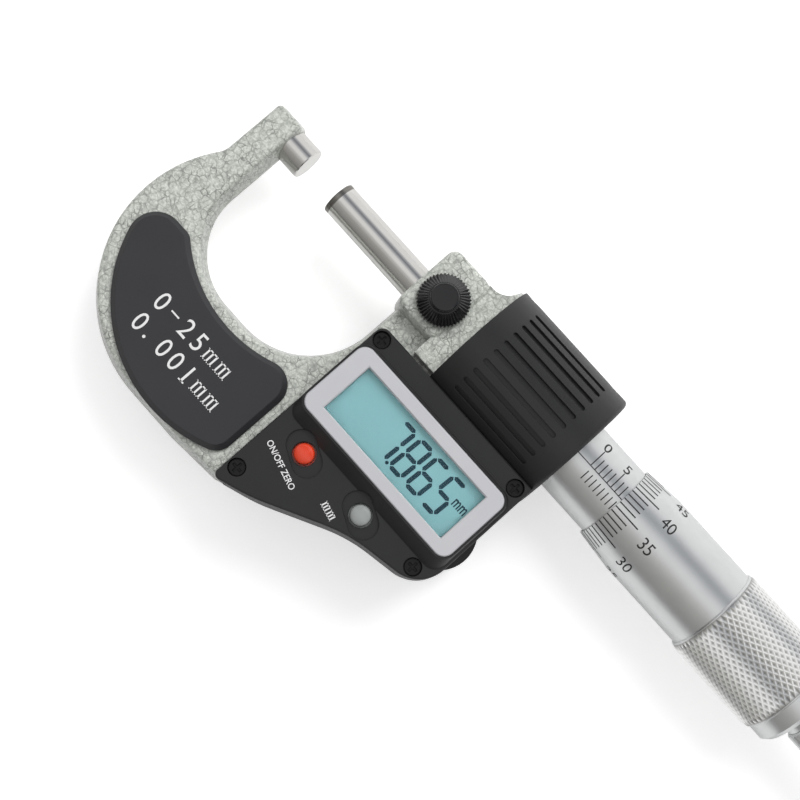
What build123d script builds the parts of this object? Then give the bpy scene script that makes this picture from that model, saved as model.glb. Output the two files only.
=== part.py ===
from build123d import *
from math import cos, pi, radians, sin, sqrt, tan
import os

os.makedirs("parts", exist_ok=True)

# Digital outside micrometer, 0 to 25 mm, lying on its back with the display facing +Z.
# The origin is the centre of the anvil's measuring face. X runs along the spindle, away from
# the anvil, and +Y points from the push buttons to the spindle. All sizes are in millimetres.

# Measuring screw
reading = 7.865
travel = 25.0
spindle_radius = 3.25
thread_radius = 3.0
zero_mark_x = 72.73
running_clearance = 0.02
seat_gap = 0.05
loose_gap = 0.25

# Anvil
anvil_stand_out = 4.2
anvil_seat_depth = 5.6
tip_thickness = 1.05
tip_chamfer = 0.15

# Frame casting
arm_width = 7.3
arm_tip_y = 3.9
arm_tip_corner = 1.7
back_radius = 26.1
back_bottom_y = -50.1
arm_bulge = 4.2
throat_width = 34.1
throat_floor_y = -27.7
throat_near_corner = 13.8
throat_far_corner = 15.3
web_half = 4.5
web_draft = 12.0
web_edge_radius = 0.9
kink_radius = 3.0
toe_flat_x = 21.0
ledge_height = 0.6
ledge_width = 0.7
ledge_gap = 0.6
ledge_inset = 1.2

# Spindle boss of the frame
boss_start_x = 28.8
boss_length = 11.0
boss_near_y = -6.5
boss_far_y = 8.8
boss_half_height = 8.1
boss_draft = 5.0
boss_corner = 2.4
boss_edge_radius = 1.1
neck_near_y = -9.4
neck_half_height = 7.4
neck_overlap = 1.5
neck_step = 0.7
flange_rim = 0.6
flare_length = 3.5
flare_lip = 1.1
flange_step = 0.6

# Barrel that covers the encoder
barrel_start_x = 43.3
barrel_end_x = 69.5
barrel_radius = 13.3
barrel_edge_radius = 0.9
barrel_wall = 1.5
groove_count = 10
groove_first_angle = -40.0
groove_pitch_angle = 10.0
groove_start_x = 47.5
groove_end_x = 65.0
groove_width = 0.9
groove_depth = 0.5

# Display housing
housing_left_x = 31.25
housing_right_x = 69.35
housing_far_y = -10.25
housing_toe_y = -49.35
toe_rise_x = 38.5
toe_rise_y = -46.9
heel_x = 54.1
heel_y = -38.72
heel_end_y = -35.9
housing_corner = 1.8
housing_toe_corner = 1.2
toe_blend = 35.0
heel_blend = 30.0
heel_corner = 6.5
parting_z = -1.0
deck_z = 9.0
back_z = -12.5
wall = 1.6
side_draft = 1.0
deck_edge_radius = 0.4
back_edge_radius = 0.5

# Raised display surround and its bezel
surround_height = 2.0
surround_slope = 2.2
surround_rim = 0.35
bezel_left_x = 31.95
bezel_right_x = 68.0
bezel_near_y = -29.9
bezel_far_y = -14.9
bezel_corner = 2.1
bezel_thickness = 1.2
bezel_proud = 0.05
bezel_edge = 0.2
window_left_x = 35.6
window_right_x = 64.8
window_near_y = -27.55
window_far_y = -17.4
window_thickness = 0.6

# Push buttons
power_button_x = 39.1
power_button_y = -35.1
unit_button_x = 53.1
unit_button_y = -34.9
button_radius = 2.0
button_proud = 0.8
button_dome = 0.5
button_travel = 0.4
button_flange = 0.6
button_flange_thickness = 0.8
button_gap = 0.1
thumb_recess_length = 8.5
thumb_recess_width = 5.3
thumb_recess_depth = 0.5
thumb_recess_angle = -25.0
switch_size = 3.4
switch_height = 1.25

# Housing screws
screw_head_radius = 1.4
screw_head_height = 0.9
screw_shank_radius = 0.85
counterbore_radius = 1.6
counterbore_depth = 1.5
screw_engagement = 5.5
cross_width = 0.42
cross_depth = 0.5
cross_length = 1.9
left_screw_inset = 2.05
right_screw_inset = 2.35
far_screw_inset = 2.2
toe_screw_inset = 4.35
heel_screw_inset_x = 4.05
heel_screw_inset_y = 1.8
post_radius = 1.85
cover_screw_angle = 75.0
cover_front_inset = 1.7
cover_rear_inset = 3.5
cover_seat_depth = 1.0
cover_screw_engagement = 4.5
back_screw_engagement = 4.0
back_screws = [(37.8, -15.0), (37.8, -43.0), (54.8, -15.0), (56.6, -34.6)]

# Insulating grips
grip_thickness = 1.6
grip_edge = 0.9
grip_outer_x = 15.35
grip_outer_y = -21.2
grip_outer_radius = 28.1
grip_inner_x = 13.6
grip_inner_y = -3.65
grip_radius_step = 1.4
grip_right_x = 29.3
grip_end_y = -24.6
grip_end_corner = 5.0
grip_neck_corner = 2.0
grip_shoulder_corner = 4.2
grip_low_corner = 3.8

# Spindle clamp
knob_x = 35.2
knob_gap = 0.33
knob_radius = 4.75
knob_cap_radius = 2.5
knob_rim_height = 1.1
knob_skirt_height = 2.7
knob_cap_height = 0.75
knob_dome = 0.35
knob_ridge_count = 45
knob_ridge_depth = 0.32
knob_top_ridge_depth = 0.14
knob_shoulder_radius = 2.85
clamp_screw_radius = 1.5
clamp_screw_top = 2.6
shoe_clearance = 0.15
shoe_height = 1.6
shoe_radius = 1.4

# Encoder
hub_gap = 0.3
hub_rim = 1.7
front_hub_length = 3.7
rear_hub_length = 7.1
barrel_cap = 1.9
encoder_gap = 0.3
stator_bore = 4.2
stator_thickness = 1.2
rotor_step = 0.2
rotor_thickness = 1.1
rotor_hub_radius = 5.0
key_radius = 0.4
keyway_depth = 0.7
keyway_x = 57.0
plate_top_z = 1.5
plate_margin = 0.3
board_pads = [(38.6, -17.0), (38.6, -42.4), (61.0, -32.6)]
board_pad_radius = 1.5

# Sleeve, nut and thimble
nut_sleeve_radius = 5.6
nut_sleeve_end_x = 106.0
nut_thread_start_x = 90.0
nut_relief = 0.5
nut_taper_length = 5.0
nut_taper_drop = 0.3
adjusting_nut_radius = 6.9
adjusting_nut_length = 4.2
sleeve_radius = 7.35
sleeve_overlap = 2.2
sleeve_hole_gap = 0.15
thimble_edge_radius = 7.88
thimble_gap = 0.15
cone_length = 7.4
thimble_radius = 8.6
thimble_smooth_end_x = 105.3
knurl_end_x = 124.3
knurl_radius = 8.95
knurl_chamfer = 0.2
thimble_end_x = 128.0
thimble_end_chamfer = 0.8
thimble_room = 2.6
taper_big_radius = 2.75
taper_small_radius = 2.35
taper_end_gap = 1.0
thread_start_margin = 2.0
thread_run_out = 0.6
nut_slot_count = 3
nut_slot_width = 0.6
nut_slot_length = 8.0

# Friction stop at the end of the thimble
stop_base_radius = 4.4
stop_base_length = 2.0
stop_disc_thickness = 0.6
stop_knob_radius = 4.9
stop_knob_length = 15.0
stop_knob_wall = 1.1
stop_knob_floor = 2.0
stop_knob_ridge_count = 36
stop_ridge_depth = 0.22
stop_spring_count = 6
stop_spring_height = 1.0
stop_spring_wall = 0.3
stop_screw_shank = 1.25
stop_screw_head = 3.0
stop_screw_head_height = 1.5
stop_screw_slot = 0.6
stop_screw_grip = 9.0

# Electronics
board_bottom_z = 3.6
board_thickness = 1.2
board_inset = 0.6
lcd_thickness = 1.8
lcd_border = 1.1
lcd_gap = 0.4
lcd_fit = 0.15
battery_inset = 5.35
battery_y = -26.0
battery_radius = 5.8
battery_height = 5.4
battery_wall = 0.7
battery_cap_radius = 6.1
battery_cap_thickness = 1.5
coin_slot_width = 1.6
coin_slot_depth = 0.7
battery_bulge_height = 9.1
contact_thickness = 0.3
contact_width = 4.0
seal_radius = 0.3
seal_groove_depth = 0.65
battery_edge = 0.3
coin_slot_length = 8.0

# Places that follow from the sizes above
tip_x = reading
thimble_edge_x = zero_mark_x + reading
open_shift = travel - reading
throat_left_x = -anvil_stand_out
throat_right_x = throat_left_x + throat_width
arm_left_x = throat_left_x - arm_width
back_centre_x = arm_left_x - arm_bulge + back_radius
back_centre_y = back_bottom_y + back_radius
arm_kink_y = back_centre_y + sqrt(back_radius**2 - (arm_left_x - back_centre_x) ** 2)
left_screw_x = housing_left_x + left_screw_inset
right_screw_x = housing_right_x - right_screw_inset
far_screw_y = housing_far_y - far_screw_inset
toe_screw_y = housing_toe_y + toe_screw_inset
heel_screw_x = housing_right_x - heel_screw_inset_x
heel_screw_y = heel_end_y + heel_screw_inset_y
web_wall_x = housing_left_x + wall
toe_slope = (toe_rise_y - housing_toe_y) / (toe_rise_x - housing_left_x)
web_toe_x = web_wall_x - seat_gap
web_toe_y = housing_toe_y + toe_slope * (web_toe_x - housing_left_x) + seat_gap
web_right_x = left_screw_x + post_radius + loose_gap
web_back_x = web_right_x + web_half * tan(radians(web_draft))
web_step_y = housing_toe_y + toe_slope * (web_back_x - housing_left_x) + wall + 2 * plate_margin
boss_end_x = boss_start_x + boss_length
boss_centre_x = boss_start_x + boss_length / 2
boss_centre_y = (boss_near_y + boss_far_y) / 2
boss_width = boss_far_y - boss_near_y
bore_radius = spindle_radius + running_clearance
barrel_bore_radius = barrel_radius - barrel_wall
flange_radius = barrel_radius - flange_step
neck_far_y = boss_far_y - neck_step
flare_height = flange_radius - neck_far_y - flare_lip
flare_start_x = barrel_start_x - flange_rim - flare_length
hub_radius = barrel_bore_radius - hub_gap
front_hub_end_x = barrel_start_x + front_hub_length
rear_hub_end_x = barrel_end_x - barrel_cap
rear_hub_start_x = rear_hub_end_x - rear_hub_length
encoder_pocket = hub_radius - hub_rim
stator_radius = encoder_pocket - encoder_gap
rotor_radius = stator_radius - rotor_step
plate_bottom_z = -web_half
bridge_near_y = housing_far_y - wall - plate_margin - seat_gap
encoder_bed_y = sqrt(hub_radius**2 - web_half**2) - seat_gap
surround_top_z = deck_z + surround_height
bezel_seat_z = surround_top_z + bezel_proud - bezel_thickness
grip_inner_radius = grip_outer_radius - grip_radius_step
bezel_centre = ((bezel_left_x + bezel_right_x) / 2, (bezel_near_y + bezel_far_y) / 2)
bezel_size = (bezel_right_x - bezel_left_x, bezel_far_y - bezel_near_y)
window_centre = ((window_left_x + window_right_x) / 2, (window_near_y + window_far_y) / 2)
window_size = (window_right_x - window_left_x, window_far_y - window_near_y)
lcd_size = (window_size[0] + 2 * lcd_border, window_size[1] + 2 * lcd_border)
ceiling_z = deck_z - wall
board_top_z = board_bottom_z + board_thickness
lcd_top_z = bezel_seat_z - lcd_gap
button_places = [(power_button_x, power_button_y), (unit_button_x, unit_button_y)]
web_screws = [(left_screw_x, far_screw_y), (left_screw_x, toe_screw_y)]
corner_screws = [(right_screw_x, far_screw_y), (heel_screw_x, heel_screw_y)]
deck_screws = web_screws + corner_screws
cover_front_x = barrel_start_x + cover_front_inset
cover_rear_x = barrel_end_x - cover_rear_inset
deck_seat_z = deck_z - counterbore_depth
deck_screw_end_z = plate_top_z - screw_engagement
back_cavity_z = back_z + wall
back_seat_z = back_z + counterbore_depth
barrel_floor_x = rear_hub_end_x + loose_gap
groove_centre_x = (groove_start_x + groove_end_x) / 2
groove_angles = [groove_first_angle + i * groove_pitch_angle for i in range(groove_count)]
deck_inset = (deck_z - parting_z) * tan(radians(side_draft))
surround_left_x = bezel_left_x - surround_rim
surround_right_x = bezel_right_x + surround_rim
surround_near_y = bezel_near_y - surround_rim
surround_far_y = bezel_far_y + surround_rim
surround_top_size = (surround_right_x - surround_left_x, surround_far_y - surround_near_y)
surround_top_centre = bezel_centre
foot_left_x = housing_left_x + deck_inset + deck_edge_radius / 4
foot_right_x = surround_right_x + surround_rim
foot_near_y = surround_near_y - surround_slope
foot_far_y = surround_far_y + surround_rim
surround_foot_size = (foot_right_x - foot_left_x, foot_far_y - foot_near_y)
surround_foot_centre = ((foot_left_x + foot_right_x) / 2, (foot_near_y + foot_far_y) / 2)
battery_x = housing_right_x - battery_inset
battery_wall_radius = battery_cap_radius + seat_gap + battery_wall
thread_start_x = nut_thread_start_x - open_shift - thread_start_margin
thread_end_x = nut_sleeve_end_x + reading + thread_run_out
thimble_hub_x = nut_sleeve_end_x + reading + thimble_room
thimble_bore_radius = sleeve_radius + thimble_gap
taper_end_x = thimble_end_x - taper_end_gap
sleeve_end_x = zero_mark_x + travel + sleeve_overlap
keyway_start_x = keyway_x - open_shift - 2 * key_radius
keyway_end_x = keyway_x + reading + 2 * key_radius
rotor_x = front_hub_end_x + stator_thickness + encoder_gap
rotor_end_x = rear_hub_start_x - encoder_gap
knob_base_z = boss_half_height + knob_gap
shoe_bottom_z = spindle_radius + shoe_clearance
button_flange_z = ceiling_z - seat_gap - button_flange_thickness
battery_bottom_z = back_z + battery_cap_thickness + seat_gap
battery_top_z = battery_bottom_z + battery_height
seal_z = back_z + battery_cap_thickness / 2 + seal_radius / 2
stop_knob_x = thimble_end_x + stop_base_length + seat_gap
stop_knob_end_chamfer_x = stop_knob_x + stop_knob_length - knurl_chamfer - stop_ridge_depth
stop_spring_x = stop_knob_x + stop_knob_floor + seat_gap
stop_spring_pitch = stop_spring_height + seat_gap
stop_head_x = stop_spring_x + stop_spring_count * stop_spring_pitch
stop_spring_rise = stop_spring_height - stop_spring_wall
stop_spring_discs = [
    (stop_spring_x + i * stop_spring_pitch, i % 2 * stop_spring_rise, (i + 1) % 2 * stop_spring_rise)
    for i in range(stop_spring_count)
]


def barrel_plane(x, angle):
    """Plane that touches the barrel at x, its outward side up, at an angle round from the top."""
    y_share, z_share = sin(radians(angle)), cos(radians(angle))
    origin = (x, barrel_radius * y_share, barrel_radius * z_share)
    return Plane(origin=origin, x_dir=(1, 0, 0), z_dir=(0, y_share, z_share))


cover_planes = [barrel_plane(x, cover_screw_angle) for x in (cover_front_x, cover_rear_x)]
cover_seats = [plane.offset(-cover_seat_depth) for plane in cover_planes]
deck_seats = [Plane((x, y, deck_seat_z)) for x, y in deck_screws]


def star(radius, depth, ridges):
    """Corners of a ribbed outline: ridges at the radius, valleys between them."""
    corners = []
    for i in range(2 * ridges):
        r = radius - depth * (i % 2)
        corners.append((r * cos(pi * i / ridges), r * sin(pi * i / ridges)))
    return corners


stop_knob_star = star(stop_knob_radius, stop_ridge_depth, stop_knob_ridge_count)

# Plan of the display housing at its parting plane
with BuildSketch() as housing_plan:
    with BuildLine():
        FilletPolyline(
            (housing_left_x, housing_far_y),
            (housing_left_x, housing_toe_y),
            (toe_rise_x, toe_rise_y),
            (heel_x, heel_y),
            (housing_right_x, heel_end_y),
            (housing_right_x, housing_far_y),
            radius=[housing_corner, housing_toe_corner, toe_blend, heel_blend, heel_corner, 0],
            close=True,
        )
    make_face()

# Plan of the room inside the housing walls
with BuildSketch() as cavity_plan:
    add(housing_plan.sketch)
    offset(amount=-wall, kind=Kind.INTERSECTION)

# Plan of the frame plate that carries the housing and the electronics
with BuildSketch() as plate_plan:
    add(housing_plan.sketch)
    offset(amount=-wall - plate_margin, kind=Kind.INTERSECTION)

# Spindle boss: a drafted block with rounded edges, the same above and below
with BuildPart() as boss:
    with BuildSketch():
        with Locations((boss_centre_x, boss_centre_y)):
            RectangleRounded(boss_length, boss_width, boss_corner)
    extrude(amount=boss_half_height, both=True, taper=boss_draft)
    boss_rims = boss.edges().filter_by(Plane.XY).group_by(Axis.Z)
    fillet(boss_rims[0] + boss_rims[-1], radius=boss_edge_radius)

# Neck between the spindle boss and the barrel, flared out to the barrel's round face
with BuildPart() as neck:
    with BuildSketch():
        with BuildLine():
            Polyline(
                (boss_end_x - neck_overlap, neck_near_y),
                (barrel_start_x, neck_near_y),
                (barrel_start_x, flange_radius),
                (flare_start_x + flare_length, flange_radius),
                (flare_start_x + flare_length, neck_far_y + flare_height),
                (flare_start_x, neck_far_y + flare_height),
                (flare_start_x, neck_far_y),
                (boss_end_x - neck_overlap, neck_far_y),
                close=True,
            )
        make_face()
        with Locations((flare_start_x, neck_far_y + flare_height)):
            Ellipse(flare_length, flare_height, mode=Mode.SUBTRACT)
    extrude(amount=neck_half_height, both=True)
    with BuildSketch(Plane.YZ.offset(boss_end_x - neck_overlap)):
        Circle(flange_radius)
    extrude(amount=barrel_start_x - boss_end_x + neck_overlap, mode=Mode.INTERSECT)

# Frame: one casting with a drafted C-shaped web, the spindle boss, the plate that carries the
# housing, and two round hubs with the encoder window between them
with BuildPart() as frame:
    with BuildSketch(mode=Mode.PRIVATE) as throat_plan:
        with Locations((throat_left_x, throat_floor_y)):
            Rectangle(throat_width, 2 * back_radius, align=(Align.MIN, Align.MIN))
        near_corner = throat_plan.vertices().group_by(Axis.Y)[0].sort_by(Axis.X)[0]
        fillet(near_corner, radius=throat_near_corner)
        far_corner = throat_plan.vertices().group_by(Axis.Y)[0].sort_by(Axis.X)[-1]
        fillet(far_corner, radius=throat_far_corner)
    with BuildSketch() as web_plan:
        with Locations((back_centre_x, back_centre_y)):
            Circle(back_radius)
        with BuildLine():
            Polyline(
                (back_centre_x, back_bottom_y),
                (toe_flat_x, back_bottom_y),
                (housing_left_x, housing_toe_y + seat_gap),
                (web_toe_x, web_toe_y),
                (web_toe_x, web_step_y),
                (web_back_x, web_step_y),
                (web_back_x, 0),
                (back_centre_x, 0),
                close=True,
            )
        make_face()
        with Locations((throat_left_x, back_centre_y)):
            Rectangle(arm_width, arm_tip_y - back_centre_y, align=(Align.MAX, Align.MIN))
        with Locations((web_back_x, 0)):
            Rectangle(back_radius, 4 * back_radius, align=(Align.MIN, Align.CENTER), mode=Mode.SUBTRACT)
        add(throat_plan.sketch, mode=Mode.SUBTRACT)
        kink = web_plan.vertices().sort_by_distance((arm_left_x, arm_kink_y))[0]
        fillet(kink, radius=kink_radius)
        fillet(web_plan.vertices().group_by(Axis.Y)[-1], radius=arm_tip_corner)
    extrude(amount=web_half, both=True, taper=web_draft)
    outer_rims = [
        edge
        for edge in frame.edges().filter_by(Plane.XY)
        if abs(abs(edge.center().Z) - web_half) < seat_gap and edge.center().X < housing_left_x
    ]
    fillet(outer_rims, radius=web_edge_radius)
    # plate inside the housing
    with BuildSketch(Plane.XY.offset(plate_bottom_z)):
        add(plate_plan.sketch)
        with Locations(*corner_screws):
            Circle(post_radius + loose_gap, mode=Mode.SUBTRACT)
    extrude(amount=plate_top_z - plate_bottom_z)
    # bridge from the web to the neck, and bed under the encoder
    with BuildSketch(Plane.XY.offset(plate_bottom_z)):
        with Locations((throat_right_x + web_edge_radius, bridge_near_y)):
            Rectangle(
                barrel_start_x - throat_right_x - web_edge_radius,
                -bridge_near_y,
                align=(Align.MIN, Align.MIN),
            )
    extrude(amount=2 * web_half)
    with BuildSketch(Plane.XY.offset(plate_bottom_z)):
        with Locations((barrel_start_x, bridge_near_y)):
            Rectangle(
                rear_hub_end_x - barrel_start_x,
                encoder_bed_y - bridge_near_y,
                align=(Align.MIN, Align.MIN),
            )
    extrude(amount=plate_top_z - plate_bottom_z)
    # hubs either side of the encoder, with room for the housing's screw post
    with BuildSketch(Plane.YZ.offset(barrel_start_x)):
        Circle(hub_radius)
    extrude(amount=front_hub_end_x - barrel_start_x)
    with BuildSketch(Plane.YZ.offset(rear_hub_start_x)):
        Circle(hub_radius)
    extrude(amount=rear_hub_end_x - rear_hub_start_x)
    with BuildSketch(Plane.XY.offset(plate_bottom_z)):
        with Locations((front_hub_end_x, -encoder_pocket)):
            Rectangle(
                rear_hub_start_x - front_hub_end_x,
                2 * encoder_pocket,
                align=(Align.MIN, Align.MIN),
            )
    extrude(amount=plate_top_z - plate_bottom_z, mode=Mode.SUBTRACT)
    with BuildSketch(Plane.XY.offset(-hub_radius)):
        with Locations(*corner_screws):
            Circle(post_radius + loose_gap)
    extrude(amount=2 * hub_radius, mode=Mode.SUBTRACT)
    add(boss.part)
    add(neck.part)
    # low rib along the housing's left side
    with BuildSketch(Plane.XY.offset(web_half - web_edge_radius)):
        with Locations((housing_left_x - ledge_gap, housing_toe_y + ledge_inset)):
            Rectangle(
                ledge_width,
                throat_floor_y - ledge_inset - housing_toe_y - ledge_inset,
                align=(Align.CENTER, Align.MIN),
            )
    extrude(amount=web_edge_radius + ledge_height)
    # seats for the circuit board
    with BuildSketch(Plane.XY.offset(plate_top_z)):
        with Locations(*board_pads):
            Circle(board_pad_radius)
    extrude(amount=board_bottom_z - plate_top_z)
    # bores: anvil seat, spindle, nut sleeve, clamp and screw holes
    with BuildSketch(Plane.YZ.offset(-anvil_stand_out - anvil_seat_depth)):
        Circle(spindle_radius)
    extrude(amount=anvil_stand_out + anvil_seat_depth, mode=Mode.SUBTRACT)
    with BuildSketch(Plane.YZ.offset(boss_start_x)):
        Circle(bore_radius)
    extrude(amount=front_hub_end_x - boss_start_x, mode=Mode.SUBTRACT)
    with BuildSketch(Plane.YZ.offset(rear_hub_start_x)):
        Circle(nut_sleeve_radius)
    extrude(amount=rear_hub_end_x - rear_hub_start_x, mode=Mode.SUBTRACT)
    with Locations((knob_x, 0, boss_half_height)):
        Hole(radius=clamp_screw_radius + running_clearance, depth=boss_half_height)
    with Locations(*[(x, y, web_half) for x, y in web_screws]):
        Hole(radius=screw_shank_radius, depth=web_half - deck_screw_end_z)
    with Locations(*cover_seats):
        Hole(radius=screw_shank_radius, depth=cover_screw_engagement)
    with BuildSketch(Plane.XY.offset(plate_bottom_z)):
        with Locations(*back_screws):
            Circle(screw_shank_radius)
    extrude(amount=back_screw_engagement, mode=Mode.SUBTRACT)
frame.part.label = "frame"
export_step(frame.part, "parts/frame.step")
print("frame", len(frame.part.solids()), round(frame.part.volume, 1), len(frame.part.faces()))

# Round barrel over the encoder
with BuildPart() as barrel:
    with BuildSketch(Plane.YZ.offset(barrel_start_x)):
        Circle(barrel_radius)
    extrude(amount=barrel_end_x - barrel_start_x)
    fillet(barrel.edges().group_by(Axis.X)[-1], radius=barrel_edge_radius)

# Both halves of the housing as one shell: the flat box over the electronics, the raised display
# surround, the barrel round the encoder and the round bulge over the battery
with BuildPart() as housing:
    with BuildSketch(Plane.XY.offset(parting_z)):
        add(housing_plan.sketch)
    extrude(amount=deck_z - parting_z, taper=side_draft)
    fillet(housing.edges().group_by(Axis.Z)[-1], radius=deck_edge_radius)
    with BuildSketch(Plane.XY.offset(parting_z)):
        add(housing_plan.sketch)
    extrude(amount=parting_z - back_z, dir=(0, 0, -1), taper=side_draft)
    chamfer(housing.edges().group_by(Axis.Z)[0], length=back_edge_radius)
    add(barrel.part)
    with BuildSketch(Plane.XY.offset(back_z)):
        with Locations((barrel_start_x, 0)):
            Rectangle(4 * barrel_radius, 4 * barrel_radius)
    extrude(amount=-barrel_radius, mode=Mode.SUBTRACT)
    with BuildSketch(Plane.XY.offset(back_z)):
        with Locations((battery_x, battery_y)):
            Circle(battery_wall_radius)
    extrude(amount=battery_bulge_height)
    with BuildSketch(Plane.XY.offset(deck_z)) as surround_foot:
        with Locations(surround_foot_centre):
            RectangleRounded(surround_foot_size[0], surround_foot_size[1], bezel_corner + surround_rim)
    with BuildSketch(Plane.XY.offset(surround_top_z)) as surround_top:
        with Locations(surround_top_centre):
            RectangleRounded(surround_top_size[0], surround_top_size[1], bezel_corner + surround_rim)
    loft()
    # room inside the box and the barrel
    with BuildSketch(Plane.XY.offset(parting_z)):
        add(cavity_plan.sketch)
    extrude(amount=ceiling_z - parting_z, taper=side_draft, mode=Mode.SUBTRACT)
    with BuildSketch(Plane.XY.offset(parting_z)):
        add(cavity_plan.sketch)
    extrude(
        amount=parting_z - back_cavity_z,
        dir=(0, 0, -1),
        taper=side_draft,
        mode=Mode.SUBTRACT,
    )
    with BuildSketch(Plane.YZ.offset(barrel_start_x)):
        Circle(barrel_bore_radius)
    extrude(amount=barrel_floor_x - barrel_start_x, mode=Mode.SUBTRACT)
    with BuildSketch(Plane.YZ.offset(barrel_floor_x)):
        Circle(sleeve_radius + sleeve_hole_gap)
    extrude(amount=barrel_end_x - barrel_floor_x, mode=Mode.SUBTRACT)
    # relief in the near wall for the flanges of the push-buttons
    with BuildSketch(Plane.XY.offset(web_half)):
        with Locations(*button_places):
            Circle(button_radius + button_flange + button_gap)
    extrude(amount=ceiling_z - web_half, mode=Mode.SUBTRACT)
    # openings in the walls where the frame passes through
    with BuildSketch(Plane.XY.offset(plate_bottom_z - seat_gap)):
        with Locations((housing_left_x - wall, housing_toe_y - wall)):
            Rectangle(
                2 * wall + 2 * plate_margin,
                housing_far_y - housing_toe_y + 2 * wall,
                align=(Align.MIN, Align.MIN),
            )
        with Locations((housing_left_x - wall, bridge_near_y - seat_gap)):
            Rectangle(
                barrel_floor_x - housing_left_x + wall,
                -bridge_near_y,
                align=(Align.MIN, Align.MIN),
            )
    extrude(amount=2 * web_half + 2 * seat_gap, mode=Mode.SUBTRACT)
    # screw posts and battery wall
    with BuildSketch(Plane.XY.offset(web_half + seat_gap)):
        with Locations(*web_screws):
            Circle(post_radius)
    extrude(amount=ceiling_z - web_half)
    with BuildSketch(Plane.XY.offset(back_cavity_z - seat_gap)):
        with Locations(*corner_screws):
            Circle(post_radius)
    extrude(amount=ceiling_z - back_cavity_z + 2 * seat_gap)
    with BuildSketch(Plane.XY.offset(back_cavity_z - seat_gap)):
        with Locations(*back_screws):
            Circle(post_radius)
        with Locations((battery_x, battery_y)):
            Circle(battery_wall_radius)
    extrude(amount=plate_bottom_z - back_cavity_z)
    # battery chamber with its wider mouth for the cap
    with BuildSketch(Plane.XY.offset(back_z)):
        with Locations((battery_x, battery_y)):
            Circle(battery_radius + seat_gap)
    extrude(amount=plate_bottom_z - seat_gap - back_z, mode=Mode.SUBTRACT)
    with BuildSketch(Plane.XY.offset(back_z)):
        with Locations((battery_x, battery_y)):
            Circle(battery_cap_radius + seat_gap)
    extrude(amount=battery_cap_thickness + seat_gap, mode=Mode.SUBTRACT)
    # screw recesses and clearance holes
    with Locations(*[(x, y, deck_z) for x, y in deck_screws]):
        CounterBoreHole(
            radius=screw_shank_radius + seat_gap,
            counter_bore_radius=counterbore_radius,
            counter_bore_depth=counterbore_depth,
            depth=deck_z - deck_screw_end_z,
        )
    with Locations(*cover_planes):
        CounterBoreHole(
            radius=screw_shank_radius + seat_gap,
            counter_bore_radius=counterbore_radius,
            counter_bore_depth=cover_seat_depth,
            depth=barrel_wall + hub_gap,
        )
    with BuildSketch(Plane.XY.offset(back_z)):
        with Locations(*back_screws):
            Circle(counterbore_radius)
    extrude(amount=counterbore_depth, mode=Mode.SUBTRACT)
    with BuildSketch(Plane.XY.offset(back_seat_z)):
        with Locations(*back_screws):
            Circle(screw_shank_radius + seat_gap)
    extrude(amount=plate_bottom_z - back_seat_z, mode=Mode.SUBTRACT)
print("housing", len(housing.part.solids()), round(housing.part.volume, 1), len(housing.part.faces()))

# Front half: display opening, push-button holes in their thumb recesses, barrel grooves
with BuildPart() as front_housing:
    add(housing.part)
    split(bisect_by=Plane.XY.offset(parting_z), keep=Keep.TOP)
    with BuildSketch(Plane.XY.offset(bezel_seat_z)):
        with Locations(bezel_centre):
            RectangleRounded(
                bezel_size[0] + 2 * seat_gap,
                bezel_size[1] + 2 * seat_gap,
                bezel_corner + seat_gap,
            )
    extrude(amount=bezel_thickness, mode=Mode.SUBTRACT)
    with BuildSketch(Plane.XY.offset(ceiling_z)):
        with Locations(window_centre):
            Rectangle(lcd_size[0] + 2 * lcd_fit, lcd_size[1] + 2 * lcd_fit)
    extrude(amount=bezel_seat_z - ceiling_z, mode=Mode.SUBTRACT)
    with BuildSketch(Plane.XY.offset(deck_z - thumb_recess_depth)):
        with Locations(*button_places):
            SlotOverall(thumb_recess_length, thumb_recess_width, rotation=thumb_recess_angle)
    extrude(amount=thumb_recess_depth + surround_height, mode=Mode.SUBTRACT)
    with Locations(*[(x, y, deck_z) for x, y in button_places]):
        Hole(radius=button_radius + button_gap, depth=2 * wall)
    with BuildSketch(*[barrel_plane(groove_centre_x, a) for a in groove_angles]):
        SlotOverall(groove_end_x - groove_start_x, groove_width)
    extrude(amount=groove_depth, both=True, mode=Mode.SUBTRACT)
front_housing.part.label = "front_housing"
export_step(front_housing.part, "parts/front_housing.step")
print("front_housing", len(front_housing.part.solids()), round(front_housing.part.volume, 1))

# Rear half, with the flat back that the micrometer lies on
with BuildPart() as rear_housing:
    add(housing.part)
    split(bisect_by=Plane.XY.offset(parting_z), keep=Keep.BOTTOM)
rear_housing.part.label = "rear_housing"
export_step(rear_housing.part, "parts/rear_housing.step")
print("rear_housing", len(rear_housing.part.solids()), round(rear_housing.part.volume, 1))

# Anvil, pressed into the arm
with BuildPart() as anvil:
    with BuildSketch():
        with BuildLine():
            Polyline(
                (-anvil_stand_out - anvil_seat_depth, 0),
                (-anvil_stand_out - anvil_seat_depth, spindle_radius),
                (-tip_chamfer, spindle_radius),
                (0, spindle_radius - tip_chamfer),
                (0, 0),
                close=True,
            )
        make_face()
    revolve(axis=Axis.X)
anvil.part.label = "anvil"
export_step(anvil.part, "parts/anvil.step")

# Carbide disc on the end of the spindle
with BuildPart() as spindle_tip:
    with BuildSketch():
        with BuildLine():
            Polyline(
                (tip_x, 0),
                (tip_x, spindle_radius - tip_chamfer),
                (tip_x + tip_chamfer, spindle_radius),
                (tip_x + tip_thickness, spindle_radius),
                (tip_x + tip_thickness, 0),
                close=True,
            )
        make_face()
    revolve(axis=Axis.X)
spindle_tip.part.label = "spindle_tip"
export_step(spindle_tip.part, "parts/spindle_tip.step")

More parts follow.
